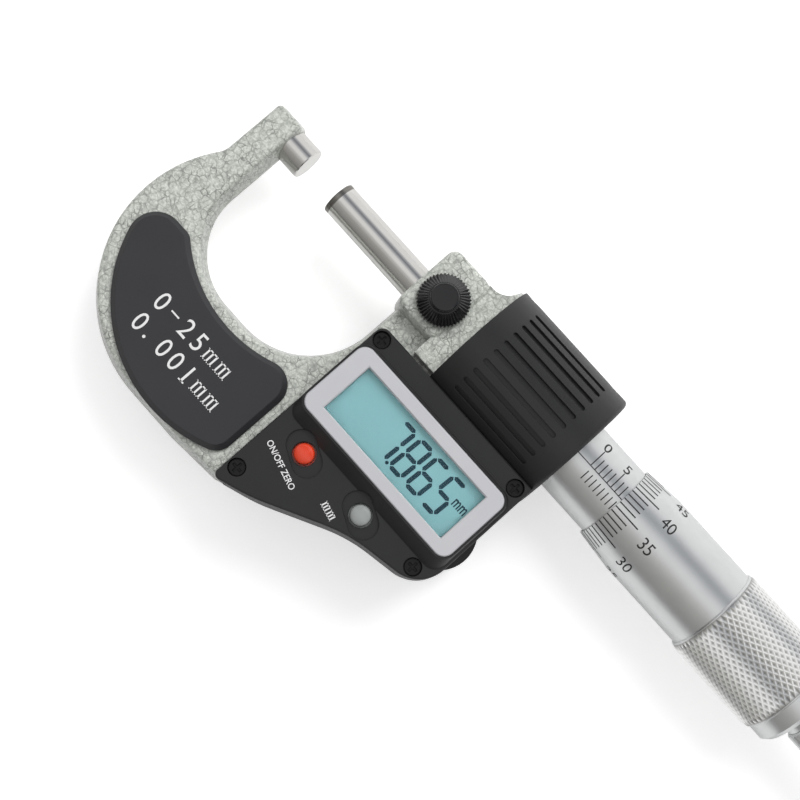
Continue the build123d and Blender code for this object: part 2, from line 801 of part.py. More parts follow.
# Spindle: plain shaft, threaded length, taper for the thimble, keyway and tapped end
with BuildPart() as spindle:
    with BuildSketch():
        with BuildLine():
            Polyline(
                (tip_x + tip_thickness, 0),
                (tip_x + tip_thickness, spindle_radius),
                (thread_start_x, spindle_radius),
                (thread_start_x + spindle_radius - thread_radius, thread_radius),
                (thread_end_x, thread_radius),
                (thread_end_x, taper_big_radius),
                (thimble_hub_x, taper_big_radius),
                (taper_end_x, taper_small_radius),
                (taper_end_x, stop_screw_shank),
                (taper_end_x - stop_screw_grip, stop_screw_shank),
                (taper_end_x - stop_screw_grip, 0),
                close=True,
            )
        make_face()
    revolve(axis=Axis.X)
    with BuildSketch(Plane.XY.offset(-spindle_radius + keyway_depth)):
        with Locations(((keyway_start_x + keyway_end_x) / 2, 0)):
            SlotOverall(keyway_end_x - keyway_start_x, 2 * key_radius + 2 * running_clearance)
    extrude(amount=-spindle_radius, mode=Mode.SUBTRACT)
spindle.part.label = "spindle"
export_step(spindle.part, "parts/spindle.step")

# Nut sleeve: the long tube in the rear hub whose slotted, threaded end guides the spindle
with BuildPart() as nut_sleeve:
    with BuildSketch():
        with BuildLine():
            Polyline(
                (rear_hub_start_x + loose_gap, spindle_radius + nut_relief),
                (rear_hub_start_x + loose_gap, nut_sleeve_radius),
                (nut_sleeve_end_x - nut_taper_length, nut_sleeve_radius),
                (nut_sleeve_end_x, nut_sleeve_radius - nut_taper_drop),
                (nut_sleeve_end_x, thread_radius + running_clearance),
                (nut_thread_start_x, thread_radius + running_clearance),
                (nut_thread_start_x, spindle_radius + nut_relief),
                close=True,
            )
        make_face()
    revolve(axis=Axis.X)
    with BuildSketch(Plane.YZ.offset(nut_sleeve_end_x - nut_slot_length)):
        with PolarLocations(nut_sleeve_radius / 2 + thread_radius / 2, nut_slot_count):
            Rectangle(nut_sleeve_radius, nut_slot_width)
    extrude(amount=nut_slot_length, mode=Mode.SUBTRACT)
nut_sleeve.part.label = "nut_sleeve"
export_step(nut_sleeve.part, "parts/nut_sleeve.step")

# Ring nut that closes the slotted end of the nut sleeve
with BuildPart() as adjusting_nut:
    with BuildSketch():
        with BuildLine():
            Polyline(
                (nut_sleeve_end_x - adjusting_nut_length, nut_sleeve_radius + running_clearance),
                (nut_sleeve_end_x - adjusting_nut_length, adjusting_nut_radius),
                (nut_sleeve_end_x, adjusting_nut_radius),
                (nut_sleeve_end_x, nut_sleeve_radius + running_clearance),
                close=True,
            )
        make_face()
    revolve(axis=Axis.X)
adjusting_nut.part.label = "adjusting_nut"
export_step(adjusting_nut.part, "parts/adjusting_nut.step")

# Graduated sleeve over the nut sleeve
with BuildPart() as sleeve:
    with BuildSketch():
        with BuildLine():
            Polyline(
                (rear_hub_end_x + running_clearance, nut_sleeve_radius + running_clearance),
                (rear_hub_end_x + running_clearance, sleeve_radius),
                (sleeve_end_x, sleeve_radius),
                (sleeve_end_x, nut_sleeve_radius + running_clearance),
                close=True,
            )
        make_face()
    revolve(axis=Axis.X)
sleeve.part.label = "sleeve"
export_step(sleeve.part, "parts/sleeve.step")

# Thimble: tapered edge, smooth barrel, raised knurled band, solid end with a tapered bore
with BuildPart() as thimble:
    with BuildSketch():
        with BuildLine():
            Polyline(
                (thimble_edge_x, thimble_bore_radius),
                (thimble_edge_x, thimble_edge_radius),
                (thimble_edge_x + cone_length, thimble_radius),
                (thimble_smooth_end_x, thimble_radius),
                (thimble_smooth_end_x, knurl_radius - knurl_chamfer),
                (thimble_smooth_end_x + knurl_chamfer, knurl_radius),
                (knurl_end_x - knurl_chamfer, knurl_radius),
                (knurl_end_x, knurl_radius - knurl_chamfer),
                (knurl_end_x, thimble_radius),
                (thimble_end_x - thimble_end_chamfer, thimble_radius),
                (thimble_end_x, thimble_radius - thimble_end_chamfer),
                (thimble_end_x, taper_small_radius + running_clearance),
                (taper_end_x, taper_small_radius + running_clearance),
                (thimble_hub_x, taper_big_radius + running_clearance),
                (thimble_hub_x, thimble_bore_radius),
                close=True,
            )
        make_face()
    revolve(axis=Axis.X)
thimble.part.label = "thimble"
export_step(thimble.part, "parts/thimble.step")

# Friction stop: flange plate, ribbed knob, disc springs and the slotted screw through them
with BuildPart() as stop_plate:
    with BuildSketch():
        with BuildLine():
            Polyline(
                (thimble_end_x, stop_screw_shank + running_clearance),
                (thimble_end_x, stop_base_radius),
                (thimble_end_x + stop_base_length, stop_base_radius),
                (thimble_end_x + stop_base_length, stop_screw_shank + running_clearance),
                close=True,
            )
        make_face()
    revolve(axis=Axis.X)
stop_plate.part.label = "stop_plate"
export_step(stop_plate.part, "parts/stop_plate.step")

with BuildPart() as stop_knob:
    with BuildSketch(Plane.YZ.offset(stop_knob_x)):
        with BuildLine():
            Polyline(*stop_knob_star, close=True)
        make_face()
    extrude(amount=stop_knob_length)
    with BuildSketch():
        with BuildLine():
            Polyline(
                (stop_knob_x, stop_knob_radius - knurl_chamfer - stop_ridge_depth),
                (stop_knob_x, 2 * stop_knob_radius),
                (stop_knob_x + knurl_chamfer + stop_ridge_depth, 2 * stop_knob_radius),
                (stop_knob_x + knurl_chamfer + stop_ridge_depth, stop_knob_radius),
                close=True,
            )
            Polyline(
                (stop_knob_x + stop_knob_length, stop_knob_radius - knurl_chamfer - stop_ridge_depth),
                (stop_knob_x + stop_knob_length, 2 * stop_knob_radius),
                (stop_knob_end_chamfer_x, 2 * stop_knob_radius),
                (stop_knob_end_chamfer_x, stop_knob_radius),
                close=True,
            )
        make_face()
    revolve(axis=Axis.X, mode=Mode.SUBTRACT)
    with BuildSketch(Plane.YZ.offset(stop_knob_x)):
        Circle(stop_screw_shank + 2 * running_clearance)
    extrude(amount=stop_knob_floor, mode=Mode.SUBTRACT)
    with BuildSketch(Plane.YZ.offset(stop_knob_x + stop_knob_floor)):
        Circle(stop_knob_radius - stop_ridge_depth - stop_knob_wall)
    extrude(amount=stop_knob_length - stop_knob_floor, mode=Mode.SUBTRACT)
stop_knob.part.label = "stop_knob"
export_step(stop_knob.part, "parts/stop_knob.step")

with BuildPart() as stop_spring:
    with BuildSketch():
        for start_x, inner_x, outer_x in stop_spring_discs:
            with BuildLine():
                Polyline(
                    (start_x + inner_x, stop_screw_shank + seat_gap),
                    (start_x + outer_x, stop_screw_head),
                    (start_x + outer_x + stop_spring_wall, stop_screw_head),
                    (start_x + inner_x + stop_spring_wall, stop_screw_shank + seat_gap),
                    close=True,
                )
            make_face()
    revolve(axis=Axis.X)
stop_spring.part.label = "stop_spring"
export_step(stop_spring.part, "parts/stop_spring.step")

with BuildPart() as stop_screw:
    with BuildSketch():
        with BuildLine():
            Polyline(
                (taper_end_x - stop_screw_grip, 0),
                (taper_end_x - stop_screw_grip, stop_screw_shank),
                (stop_head_x, stop_screw_shank),
                (stop_head_x, stop_screw_head),
                (stop_head_x + stop_screw_head_height, stop_screw_head),
                (stop_head_x + stop_screw_head_height, 0),
                close=True,
            )
        make_face()
    revolve(axis=Axis.X)
    with BuildSketch(Plane.YZ.offset(stop_head_x + stop_screw_head_height)):
        Rectangle(2 * stop_screw_head, stop_screw_slot)
    extrude(amount=-stop_screw_slot, mode=Mode.SUBTRACT)
stop_screw.part.label = "stop_screw"
export_step(stop_screw.part, "parts/stop_screw.step")

# Encoder: fixed disc on the front hub, turning disc on its own hub, and the key in the spindle
with BuildPart() as encoder_stator:
    with BuildSketch(Plane.YZ.offset(front_hub_end_x)):
        Circle(stator_radius)
        Circle(stator_bore, mode=Mode.SUBTRACT)
    extrude(amount=stator_thickness)
encoder_stator.part.label = "encoder_stator"
export_step(encoder_stator.part, "parts/encoder_stator.step")

with BuildPart() as encoder_rotor:
    with BuildSketch():
        with BuildLine():
            Polyline(
                (rotor_x, bore_radius),
                (rotor_x, rotor_radius),
                (rotor_x + rotor_thickness, rotor_radius),
                (rotor_x + rotor_thickness, rotor_hub_radius),
                (rotor_end_x, rotor_hub_radius),
                (rotor_end_x, bore_radius),
                close=True,
            )
        make_face()
    revolve(axis=Axis.X)
    with BuildSketch(Plane.XY.offset(-rotor_hub_radius)):
        with Locations((keyway_x, 0)):
            Circle(key_radius)
    extrude(amount=rotor_hub_radius, mode=Mode.SUBTRACT)
encoder_rotor.part.label = "encoder_rotor"
export_step(encoder_rotor.part, "parts/encoder_rotor.step")

with BuildPart() as rotor_key:
    with BuildSketch(Plane.XY.offset(-rotor_hub_radius)):
        with Locations((keyway_x, 0)):
            Circle(key_radius)
    extrude(amount=rotor_hub_radius - spindle_radius + keyway_depth - running_clearance)
rotor_key.part.label = "rotor_key"
export_step(rotor_key.part, "parts/rotor_key.step")

# Spindle clamp: ribbed knob, its screw, and the brass shoe that bears on the spindle
with BuildPart() as lock_knob:
    with BuildSketch(Plane.XY.offset(knob_base_z)):
        with Locations((knob_x, 0)):
            Polygon(*star(knob_radius, knob_ridge_depth, knob_ridge_count), align=None)
    extrude(amount=knob_rim_height)
    with BuildSketch(Plane.XY.offset(knob_base_z + knob_rim_height)):
        with Locations((knob_x, 0)):
            Polygon(*star(knob_radius, knob_ridge_depth, knob_ridge_count), align=None)
    with BuildSketch(Plane.XY.offset(knob_base_z + knob_skirt_height)):
        with Locations((knob_x, 0)):
            Polygon(*star(knob_shoulder_radius, knob_top_ridge_depth, knob_ridge_count), align=None)
    loft(ruled=True)
    with BuildSketch(Plane.XY.offset(knob_base_z + knob_skirt_height)):
        with Locations((knob_x, 0)):
            Circle(knob_cap_radius)
    extrude(amount=knob_cap_height + knob_dome)
    fillet(lock_knob.edges().group_by(Axis.Z)[-1], radius=knob_dome)
    with BuildSketch(Plane.XY.offset(knob_base_z)):
        with Locations((knob_x, 0)):
            Circle(clamp_screw_radius)
    extrude(amount=clamp_screw_top, mode=Mode.SUBTRACT)
lock_knob.part.label = "lock_knob"
export_step(lock_knob.part, "parts/lock_knob.step")

with BuildPart() as lock_screw:
    with BuildSketch(Plane.XY.offset(shoe_bottom_z + shoe_height)):
        with Locations((knob_x, 0)):
            Circle(clamp_screw_radius)
    extrude(amount=knob_base_z + clamp_screw_top - shoe_bottom_z - shoe_height)
lock_screw.part.label = "lock_screw"
export_step(lock_screw.part, "parts/lock_screw.step")

with BuildPart() as lock_shoe:
    with BuildSketch(Plane.XY.offset(shoe_bottom_z)):
        with Locations((knob_x, 0)):
            Circle(shoe_radius)
    extrude(amount=shoe_height)
lock_shoe.part.label = "lock_shoe"
export_step(lock_shoe.part, "parts/lock_shoe.step")

# Insulating grips, front and rear
with BuildPart() as front_pad:
    with BuildSketch(Plane.XY.offset(web_half)) as grip_plan:
        with Locations((grip_outer_x, grip_outer_y)):
            Circle(grip_outer_radius)
        with Locations((grip_inner_x, grip_inner_y)):
            Circle(grip_inner_radius, mode=Mode.SUBTRACT)
        with Locations((grip_inner_x, grip_end_y)):
            Rectangle(
                4 * grip_outer_radius,
                2 * grip_outer_radius,
                align=(Align.CENTER, Align.MIN),
                mode=Mode.SUBTRACT,
            )
        with Locations((grip_right_x, grip_outer_y)):
            Rectangle(
                2 * grip_outer_radius,
                4 * grip_outer_radius,
                align=(Align.MIN, Align.CENTER),
                mode=Mode.SUBTRACT,
            )
        fillet(grip_plan.vertices().sort_by(Axis.X)[0], radius=grip_end_corner)
        neck_corner = grip_plan.vertices().group_by(Axis.Y)[-1].sort_by(Axis.X)[-1]
        fillet(neck_corner, radius=grip_neck_corner)
        low_corner = grip_plan.vertices().sort_by_distance((grip_right_x, housing_toe_y))[0]
        fillet(low_corner, radius=grip_low_corner)
        shoulder = grip_plan.vertices().sort_by_distance((grip_right_x, throat_floor_y))[0]
        fillet(shoulder, radius=grip_shoulder_corner)
    extrude(amount=grip_thickness)
    chamfer(front_pad.edges().group_by(Axis.Z)[-1], length=grip_edge)
front_pad.part.label = "front_pad"
export_step(front_pad.part, "parts/front_pad.step")

with BuildPart() as rear_pad:
    mirror(front_pad.part, about=Plane.XY)
rear_pad.part.label = "rear_pad"
export_step(rear_pad.part, "parts/rear_pad.step")

# Bezel and clear window over the display
with BuildPart() as display_bezel:
    with BuildSketch(Plane.XY.offset(bezel_seat_z)):
        with Locations(bezel_centre):
            RectangleRounded(bezel_size[0], bezel_size[1], bezel_corner)
        with Locations(window_centre):
            Rectangle(window_size[0], window_size[1], mode=Mode.SUBTRACT)
    extrude(amount=bezel_thickness)
    outer_rim = display_bezel.edges().group_by(Axis.Z)[-1]
    chamfer(outer_rim, length=bezel_edge)
display_bezel.part.label = "display_bezel"
export_step(display_bezel.part, "parts/display_bezel.step")

with BuildPart() as display_window:
    with BuildSketch(Plane.XY.offset(bezel_seat_z)):
        with Locations(window_centre):
            Rectangle(window_size[0] - 2 * seat_gap, window_size[1] - 2 * seat_gap)
    extrude(amount=window_thickness)
display_window.part.label = "display_window"
export_step(display_window.part, "parts/display_window.step")

# Display glass, its holder, and the circuit board with the two switches
with BuildPart() as lcd_glass:
    with BuildSketch(Plane.XY.offset(lcd_top_z - lcd_thickness)):
        with Locations(window_centre):
            Rectangle(lcd_size[0], lcd_size[1])
    extrude(amount=lcd_thickness)
lcd_glass.part.label = "lcd_glass"
export_step(lcd_glass.part, "parts/lcd_glass.step")

with BuildPart() as lcd_holder:
    with BuildSketch(Plane.XY.offset(board_top_z)):
        with Locations(window_centre):
            Rectangle(lcd_size[0], lcd_size[1])
    extrude(amount=lcd_top_z - lcd_thickness - board_top_z)
lcd_holder.part.label = "lcd_holder"
export_step(lcd_holder.part, "parts/lcd_holder.step")

with BuildPart() as circuit_board:
    with BuildSketch(Plane.XY.offset(board_bottom_z)):
        add(cavity_plan.sketch)
        offset(amount=-board_inset, kind=Kind.INTERSECTION)
        with Locations((web_right_x + board_inset, back_centre_y)):
            Rectangle(
                2 * back_radius,
                4 * back_radius,
                align=(Align.MAX, Align.CENTER),
                mode=Mode.SUBTRACT,
            )
        with Locations(*corner_screws):
            Circle(post_radius + loose_gap, mode=Mode.SUBTRACT)
    extrude(amount=board_thickness)
circuit_board.part.label = "circuit_board"
export_step(circuit_board.part, "parts/circuit_board.step")

with BuildPart() as button_switches:
    with BuildSketch(Plane.XY.offset(board_top_z)):
        with Locations(*button_places):
            Rectangle(switch_size, switch_size)
    extrude(amount=switch_height)
button_switches.part.label = "button_switches"
export_step(button_switches.part, "parts/button_switches.step")

# Push buttons, each with a flange under the deck
with BuildPart() as power_button:
    with BuildSketch(Plane.XY.offset(button_flange_z)):
        with Locations(button_places[0]):
            Circle(button_radius + button_flange)
    extrude(amount=button_flange_thickness)
    with BuildSketch(Plane.XY.offset(button_flange_z)):
        with Locations(button_places[0]):
            Circle(button_radius)
    extrude(amount=deck_z + button_proud - button_flange_z)
    fillet(power_button.edges().group_by(Axis.Z)[-1], radius=button_dome)
power_button.part.label = "power_button"
export_step(power_button.part, "parts/power_button.step")

with BuildPart() as unit_button:
    with BuildSketch(Plane.XY.offset(button_flange_z)):
        with Locations(button_places[1]):
            Circle(button_radius + button_flange)
    extrude(amount=button_flange_thickness)
    with BuildSketch(Plane.XY.offset(button_flange_z)):
        with Locations(button_places[1]):
            Circle(button_radius)
    extrude(amount=deck_z + button_proud - button_flange_z)
    fillet(unit_button.edges().group_by(Axis.Z)[-1], radius=button_dome)
unit_button.part.label = "unit_button"
export_step(unit_button.part, "parts/unit_button.step")

# Button cell, its spring contact, and the cap with its sealing ring
with BuildPart() as battery:
    with BuildSketch(Plane.XY.offset(battery_bottom_z)):
        with Locations((battery_x, battery_y)):
            Circle(battery_radius)
    extrude(amount=battery_height)
    chamfer(battery.edges().group_by(Axis.Z)[0], length=battery_edge)
battery.part.label = "battery"
export_step(battery.part, "parts/battery.step")

with BuildPart() as battery_contact:
    with BuildSketch(Plane.XZ.offset(-battery_y)):
        with BuildLine():
            Polyline(
                (battery_x - battery_radius / 2, plate_bottom_z),
                (battery_x - contact_width / 4, battery_top_z),
                (battery_x + contact_width / 4, battery_top_z),
                (battery_x + battery_radius / 2, plate_bottom_z),
                (battery_x + battery_radius / 2 - contact_thickness, plate_bottom_z),
                (battery_x + contact_width / 4 - seat_gap, battery_top_z + contact_thickness),
                (battery_x - contact_width / 4 + seat_gap, battery_top_z + contact_thickness),
                (battery_x - battery_radius / 2 + contact_thickness, plate_bottom_z),
                close=True,
            )
        make_face()
    extrude(amount=contact_width / 2, both=True)
battery_contact.part.label = "battery_contact"
export_step(battery_contact.part, "parts/battery_contact.step")

with BuildPart() as battery_cap:
    with BuildSketch(Plane.XY.offset(back_z)):
        with Locations((battery_x, battery_y)):
            Circle(battery_cap_radius)
    extrude(amount=battery_cap_thickness)
    chamfer(battery_cap.edges().group_by(Axis.Z)[0], length=battery_edge)
    with BuildSketch(Plane.XY.offset(back_z)):
        with Locations((battery_x, battery_y)):
            Rectangle(coin_slot_length, coin_slot_width)
    extrude(amount=coin_slot_depth, mode=Mode.SUBTRACT)
    with BuildSketch(Plane.XY.offset(seal_z - seal_radius)):
        with Locations((battery_x, battery_y)):
            Circle(battery_cap_radius)
            Circle(battery_cap_radius - seal_groove_depth, mode=Mode.SUBTRACT)
    extrude(amount=2 * seal_radius, mode=Mode.SUBTRACT)
battery_cap.part.label = "battery_cap"
export_step(battery_cap.part, "parts/battery_cap.step")

with BuildPart() as cap_seal:
    with Locations((battery_x, battery_y, seal_z)):
        Torus(battery_cap_radius - seal_radius, seal_radius - running_clearance)
cap_seal.part.label = "cap_seal"
export_step(cap_seal.part, "parts/cap_seal.step")

# Cross-recessed screws: the six in the front half, and the four in the back
with BuildPart() as housing_screws:
    with BuildSketch(*deck_seats):
        Circle(screw_shank_radius)
    extrude(amount=deck_screw_end_z - deck_seat_z)
    with BuildSketch(*cover_seats):
        Circle(screw_shank_radius)
    extrude(amount=-cover_screw_engagement)
    with BuildSketch(*deck_seats, *cover_seats):
        Circle(screw_head_radius)
    extrude(amount=screw_head_height)
    with BuildSketch(*[seat.offset(screw_head_height) for seat in deck_seats + cover_seats]):
        Rectangle(cross_length, cross_width)
        Rectangle(cross_width, cross_length)
    extrude(amount=-cross_depth, mode=Mode.SUBTRACT)
housing_screws.part.label = "housing_screws"
export_step(housing_screws.part, "parts/housing_screws.step")

with BuildPart() as rear_screws:
    with BuildSketch(Plane.XY.offset(back_seat_z - screw_head_height)):
        with Locations(*back_screws):
            Circle(screw_head_radius)
    extrude(amount=screw_head_height)
    with BuildSketch(Plane.XY.offset(back_seat_z)):
        with Locations(*back_screws):
            Circle(screw_shank_radius)
    extrude(amount=plate_bottom_z + back_screw_engagement - back_seat_z)
    with BuildSketch(Plane.XY.offset(back_seat_z - screw_head_height)):
        with Locations(*back_screws):
            Rectangle(cross_length, cross_width)
            Rectangle(cross_width, cross_length)
    extrude(amount=cross_depth, mode=Mode.SUBTRACT)
rear_screws.part.label = "rear_screws"
export_step(rear_screws.part, "parts/rear_screws.step")
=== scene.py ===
# %% [markdown]
# # A digital outside micrometer
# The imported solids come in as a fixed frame, in metres. This lesson gives them their finishes,
# adds the scales, the figures and the knurl, and sets up the light and the camera.

# %% Load the solids
import math

import bmesh
import bpy
from mathutils import Matrix, Vector


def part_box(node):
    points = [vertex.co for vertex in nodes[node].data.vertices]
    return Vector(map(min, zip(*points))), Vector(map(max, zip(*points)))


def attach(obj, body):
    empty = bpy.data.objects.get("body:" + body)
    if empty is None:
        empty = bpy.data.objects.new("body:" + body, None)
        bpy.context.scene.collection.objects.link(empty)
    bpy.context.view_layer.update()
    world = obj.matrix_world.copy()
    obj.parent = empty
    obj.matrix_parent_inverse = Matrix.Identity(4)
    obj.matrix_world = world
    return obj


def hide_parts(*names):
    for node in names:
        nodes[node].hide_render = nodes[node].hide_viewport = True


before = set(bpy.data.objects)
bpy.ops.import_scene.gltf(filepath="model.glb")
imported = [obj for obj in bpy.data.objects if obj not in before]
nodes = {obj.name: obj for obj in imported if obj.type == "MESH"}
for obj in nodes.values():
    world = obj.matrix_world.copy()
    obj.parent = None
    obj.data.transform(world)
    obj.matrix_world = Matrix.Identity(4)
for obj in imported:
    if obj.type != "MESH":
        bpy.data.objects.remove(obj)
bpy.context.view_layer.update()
MM = 0.001

# %% [markdown]
# ## Sizes read from the solids
# The scales lie on the sleeve and on the thimble. The sleeve's radius and the thimble's edge are
# read from those nodes, so a change of the solids moves the marks with it. The thimble's taper
# and the deck's height can't be read from a box, so they are given here.

# %% Read the carrying surfaces
sleeve_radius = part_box("sleeve")[1].z
thimble_edge_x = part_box("thimble")[0].x
pad_top_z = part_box("front_pad")[1].z
glass_top_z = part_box("lcd_glass")[1].z
back_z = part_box("rear_housing")[0].z
deck_z = 9.0 * MM
reading = 7.865 * MM
zero_mark_x = thimble_edge_x - reading
cone_end_x = thimble_edge_x + 7.4 * MM
thimble_edge_radius = 7.88 * MM
thimble_radius = 8.6 * MM
print("sleeve radius", sleeve_radius / MM, "zero mark at", round(zero_mark_x / MM, 3))

# %% [markdown]
# ## A material to start from
# Every finish is a Principled BSDF with nodes in front of it. The first helper makes the material
# and an Object texture coordinate, which stays put on the metal whatever view is taken. The
# others add the nodes that most finishes share.


# %% Helpers: an empty finish and common nodes
def new_finish(name, roughness=0.5, metallic=0.0, coat=0.0, coat_roughness=0.1, specular=0.5):
    material = bpy.data.materials.new(name)
    material.use_nodes = True
    tree = material.node_tree
    shader = tree.nodes["Principled BSDF"]
    shader.inputs["Roughness"].default_value = roughness
    shader.inputs["Metallic"].default_value = metallic
    shader.inputs["Coat Weight"].default_value = coat
    shader.inputs["Coat Roughness"].default_value = coat_roughness
    shader.inputs["Specular IOR Level"].default_value = specular
    place = tree.nodes.new("ShaderNodeTexCoord")
    place.name = "place"
    return material, tree, shader, place


def join(tree, source, target):
    tree.links.new(source, target)


def noise(tree, vector, scale, detail=2.0, roughness=0.5):
    texture = tree.nodes.new("ShaderNodeTexNoise")
    texture.inputs["Scale"].default_value = scale
    texture.inputs["Detail"].default_value = detail
    texture.inputs["Roughness"].default_value = roughness
    join(tree, vector, texture.inputs["Vector"])
    return texture


def calculate(tree, operation, *terms):
    """A Math node, whose terms are plain numbers or outputs of other nodes."""
    node = tree.nodes.new("ShaderNodeMath")
    node.operation = operation
    for socket, term in zip(node.inputs, terms):
        if isinstance(term, float):
            socket.default_value = term
        else:
            join(tree, term, socket)
    return node.outputs["Value"]


def mix_colours(tree, factor, first, second):
    mix = tree.nodes.new("ShaderNodeMix")
    mix.data_type = "RGBA"
    mix.inputs["A"].default_value = (*first, 1)
    mix.inputs["B"].default_value = (*second, 1)
    join(tree, factor, mix.inputs["Factor"])
    return mix.outputs["Result"]


def soft_edges(tree, relief, radius):
    """Rounds sharp edges in the shading, so that they catch the light as real ones do."""
    rounded = tree.nodes.new("ShaderNodeBevel")
    rounded.samples = 4
    rounded.inputs["Radius"].default_value = radius
    join(tree, rounded.outputs["Normal"], relief.inputs["Normal"])


# %% [markdown]
# ## Shared effect: moulded grain
# Moulded plastic is never quite even: the tool leaves a fine grain that breaks up reflections,
# and larger patches are a shade lighter or darker. A node group gives both as plain values.

# %% Node group: moulded grain
grain = bpy.data.node_groups.new("moulded grain", "ShaderNodeTree")
grain.interface.new_socket("Vector", in_out="INPUT", socket_type="NodeSocketVector")
grain.interface.new_socket("Height", in_out="OUTPUT", socket_type="NodeSocketFloat")
grain.interface.new_socket("Patch", in_out="OUTPUT", socket_type="NodeSocketFloat")
grain_in = grain.nodes.new("NodeGroupInput")
grain_out = grain.nodes.new("NodeGroupOutput")
fine = noise(grain, grain_in.outputs["Vector"], 4000.0)
patch = noise(grain, grain_in.outputs["Vector"], 120.0, detail=3.0)
join(grain, fine.outputs["Fac"], grain_out.inputs["Height"])
join(grain, patch.outputs["Fac"], grain_out.inputs["Patch"])
print("group ready:", grain.name)


# %% Helper: a moulded plastic or rubber
def moulded(name, dark, light, roughness, bump, coat=0.0, specular=0.5):
    material, tree, shader, place = new_finish(name, roughness, coat=coat, specular=specular)
    effect = tree.nodes.new("ShaderNodeGroup")
    effect.node_tree = grain
    join(tree, place.outputs["Object"], effect.inputs["Vector"])
    shade = mix_colours(tree, effect.outputs["Patch"], dark, light)
    join(tree, shade, shader.inputs["Base Color"])
    rough = tree.nodes.new("ShaderNodeMapRange")
    rough.inputs["To Min"].default_value = roughness - 0.05
    rough.inputs["To Max"].default_value = roughness + 0.07
    join(tree, effect.outputs["Height"], rough.inputs["Value"])
    join(tree, rough.outputs["Result"], shader.inputs["Roughness"])
    relief = tree.nodes.new("ShaderNodeBump")
    relief.inputs["Strength"].default_value = bump
    relief.inputs["Distance"].default_value = 0.02 * MM
    join(tree, effect.outputs["Height"], relief.inputs["Height"])
    soft_edges(tree, relief, 0.15 * MM)
    join(tree, relief.outputs["Normal"], shader.inputs["Normal"])
    return material


# %% [markdown]
# ## Plastics and rubbers
# The housing halves are matt black, the grips on the frame are a softer charcoal, the display
# surround is pale grey, and the two buttons are glossy, one orange-red and one grey. The black
# screws use the same grain, deeper and shinier.

# %% Plastics and rubbers
housing_black = moulded("housing_black", (0.010, 0.010, 0.010), (0.016, 0.016, 0.017), 0.45, 0.35)
grip_black = moulded("grip_black", (0.027, 0.027, 0.030), (0.034, 0.034, 0.037), 0.55, 0.25)
knob_black = moulded(
    "knob_black", (0.004, 0.004, 0.005), (0.008, 0.008, 0.009), 0.22, 0.3, coat=0.4, specular=0.3,
)
bezel_grey = moulded("bezel_grey", (0.53, 0.53, 0.56), (0.58, 0.58, 0.6), 0.5, 0.2)
button_red = moulded("button_red", (0.68, 0.038, 0.006), (0.75, 0.05, 0.01), 0.28, 0.1, coat=0.5)
button_grey = moulded(
    "button_grey", (0.29, 0.31, 0.305), (0.34, 0.36, 0.35), 0.3, 0.1, coat=0.5,
)
seal_rubber = moulded("seal_rubber", (0.01, 0.01, 0.01), (0.02, 0.02, 0.02), 0.7, 0.4)
holder_white = moulded("holder_white", (0.7, 0.7, 0.68), (0.76, 0.76, 0.74), 0.5, 0.1)
board_green = moulded("board_green", (0.02, 0.12, 0.05), (0.03, 0.16, 0.07), 0.45, 0.1, coat=0.4)
black_screw = moulded(
    "black_screw", (0.003, 0.003, 0.003), (0.007, 0.007, 0.007), 0.25, 0.6, specular=0.25,
)
print("nodes in a plastic:", len(housing_black.node_tree.nodes))

# %% [markdown]
# ## Shared effect: lathe lines
# A ground or turned surface shows very fine rings round its axis, here the X axis. Noise that is
# stretched round the axis and squeezed along it gives them, as one value.

# %% Node group: lathe lines
lathe = bpy.data.node_groups.new("lathe lines", "ShaderNodeTree")
lathe.interface.new_socket("Vector", in_out="INPUT", socket_type="NodeSocketVector")
lathe.interface.new_socket("Lines", in_out="OUTPUT", socket_type="NodeSocketFloat")
lathe.interface.new_socket("Cloud", in_out="OUTPUT", socket_type="NodeSocketFloat")
lathe_in = lathe.nodes.new("NodeGroupInput")
lathe_out = lathe.nodes.new("NodeGroupOutput")
squeeze = lathe.nodes.new("ShaderNodeMapping")
squeeze.inputs["Scale"].default_value = (9000.0, 90.0, 90.0)
join(lathe, lathe_in.outputs["Vector"], squeeze.inputs["Vector"])
rings = noise(lathe, squeeze.outputs["Vector"], 1.0)
cloud = noise(lathe, lathe_in.outputs["Vector"], 260.0, detail=3.0)
join(lathe, rings.outputs["Fac"], lathe_out.inputs["Lines"])
join(lathe, cloud.outputs["Fac"], lathe_out.inputs["Cloud"])


# %% Helper: a machined metal
def machined(name, dark, light, low_rough, high_rough, bump, sparkle=0.0):
    material, tree, shader, place = new_finish(name, metallic=1.0)
    effect = tree.nodes.new("ShaderNodeGroup")
    effect.node_tree = lathe
    join(tree, place.outputs["Object"], effect.inputs["Vector"])
    shade = mix_colours(tree, effect.outputs["Cloud"], dark, light)
    join(tree, shade, shader.inputs["Base Color"])
    rough = tree.nodes.new("ShaderNodeMapRange")
    rough.inputs["To Min"].default_value = low_rough
    rough.inputs["To Max"].default_value = high_rough
    join(tree, effect.outputs["Lines"], rough.inputs["Value"])
    join(tree, rough.outputs["Result"], shader.inputs["Roughness"])
    height = effect.outputs["Lines"]
    if sparkle:
        blast = noise(tree, place.outputs["Object"], 4200.0, detail=1.0)
        height = calculate(tree, "MULTIPLY_ADD", blast.outputs["Fac"], sparkle, height)
    relief = tree.nodes.new("ShaderNodeBump")
    relief.inputs["Strength"].default_value = bump
    relief.inputs["Distance"].default_value = 0.004 * MM
    join(tree, height, relief.inputs["Height"])
    join(tree, relief.outputs["Normal"], shader.inputs["Normal"])
    return material


# %% [markdown]
# ## Metals
# The spindle and the anvil are ground steel with a near mirror shine. The sleeve and the thimble
# have a satin chrome that is blasted to a fine grain. Carbide is darker and slightly brown.

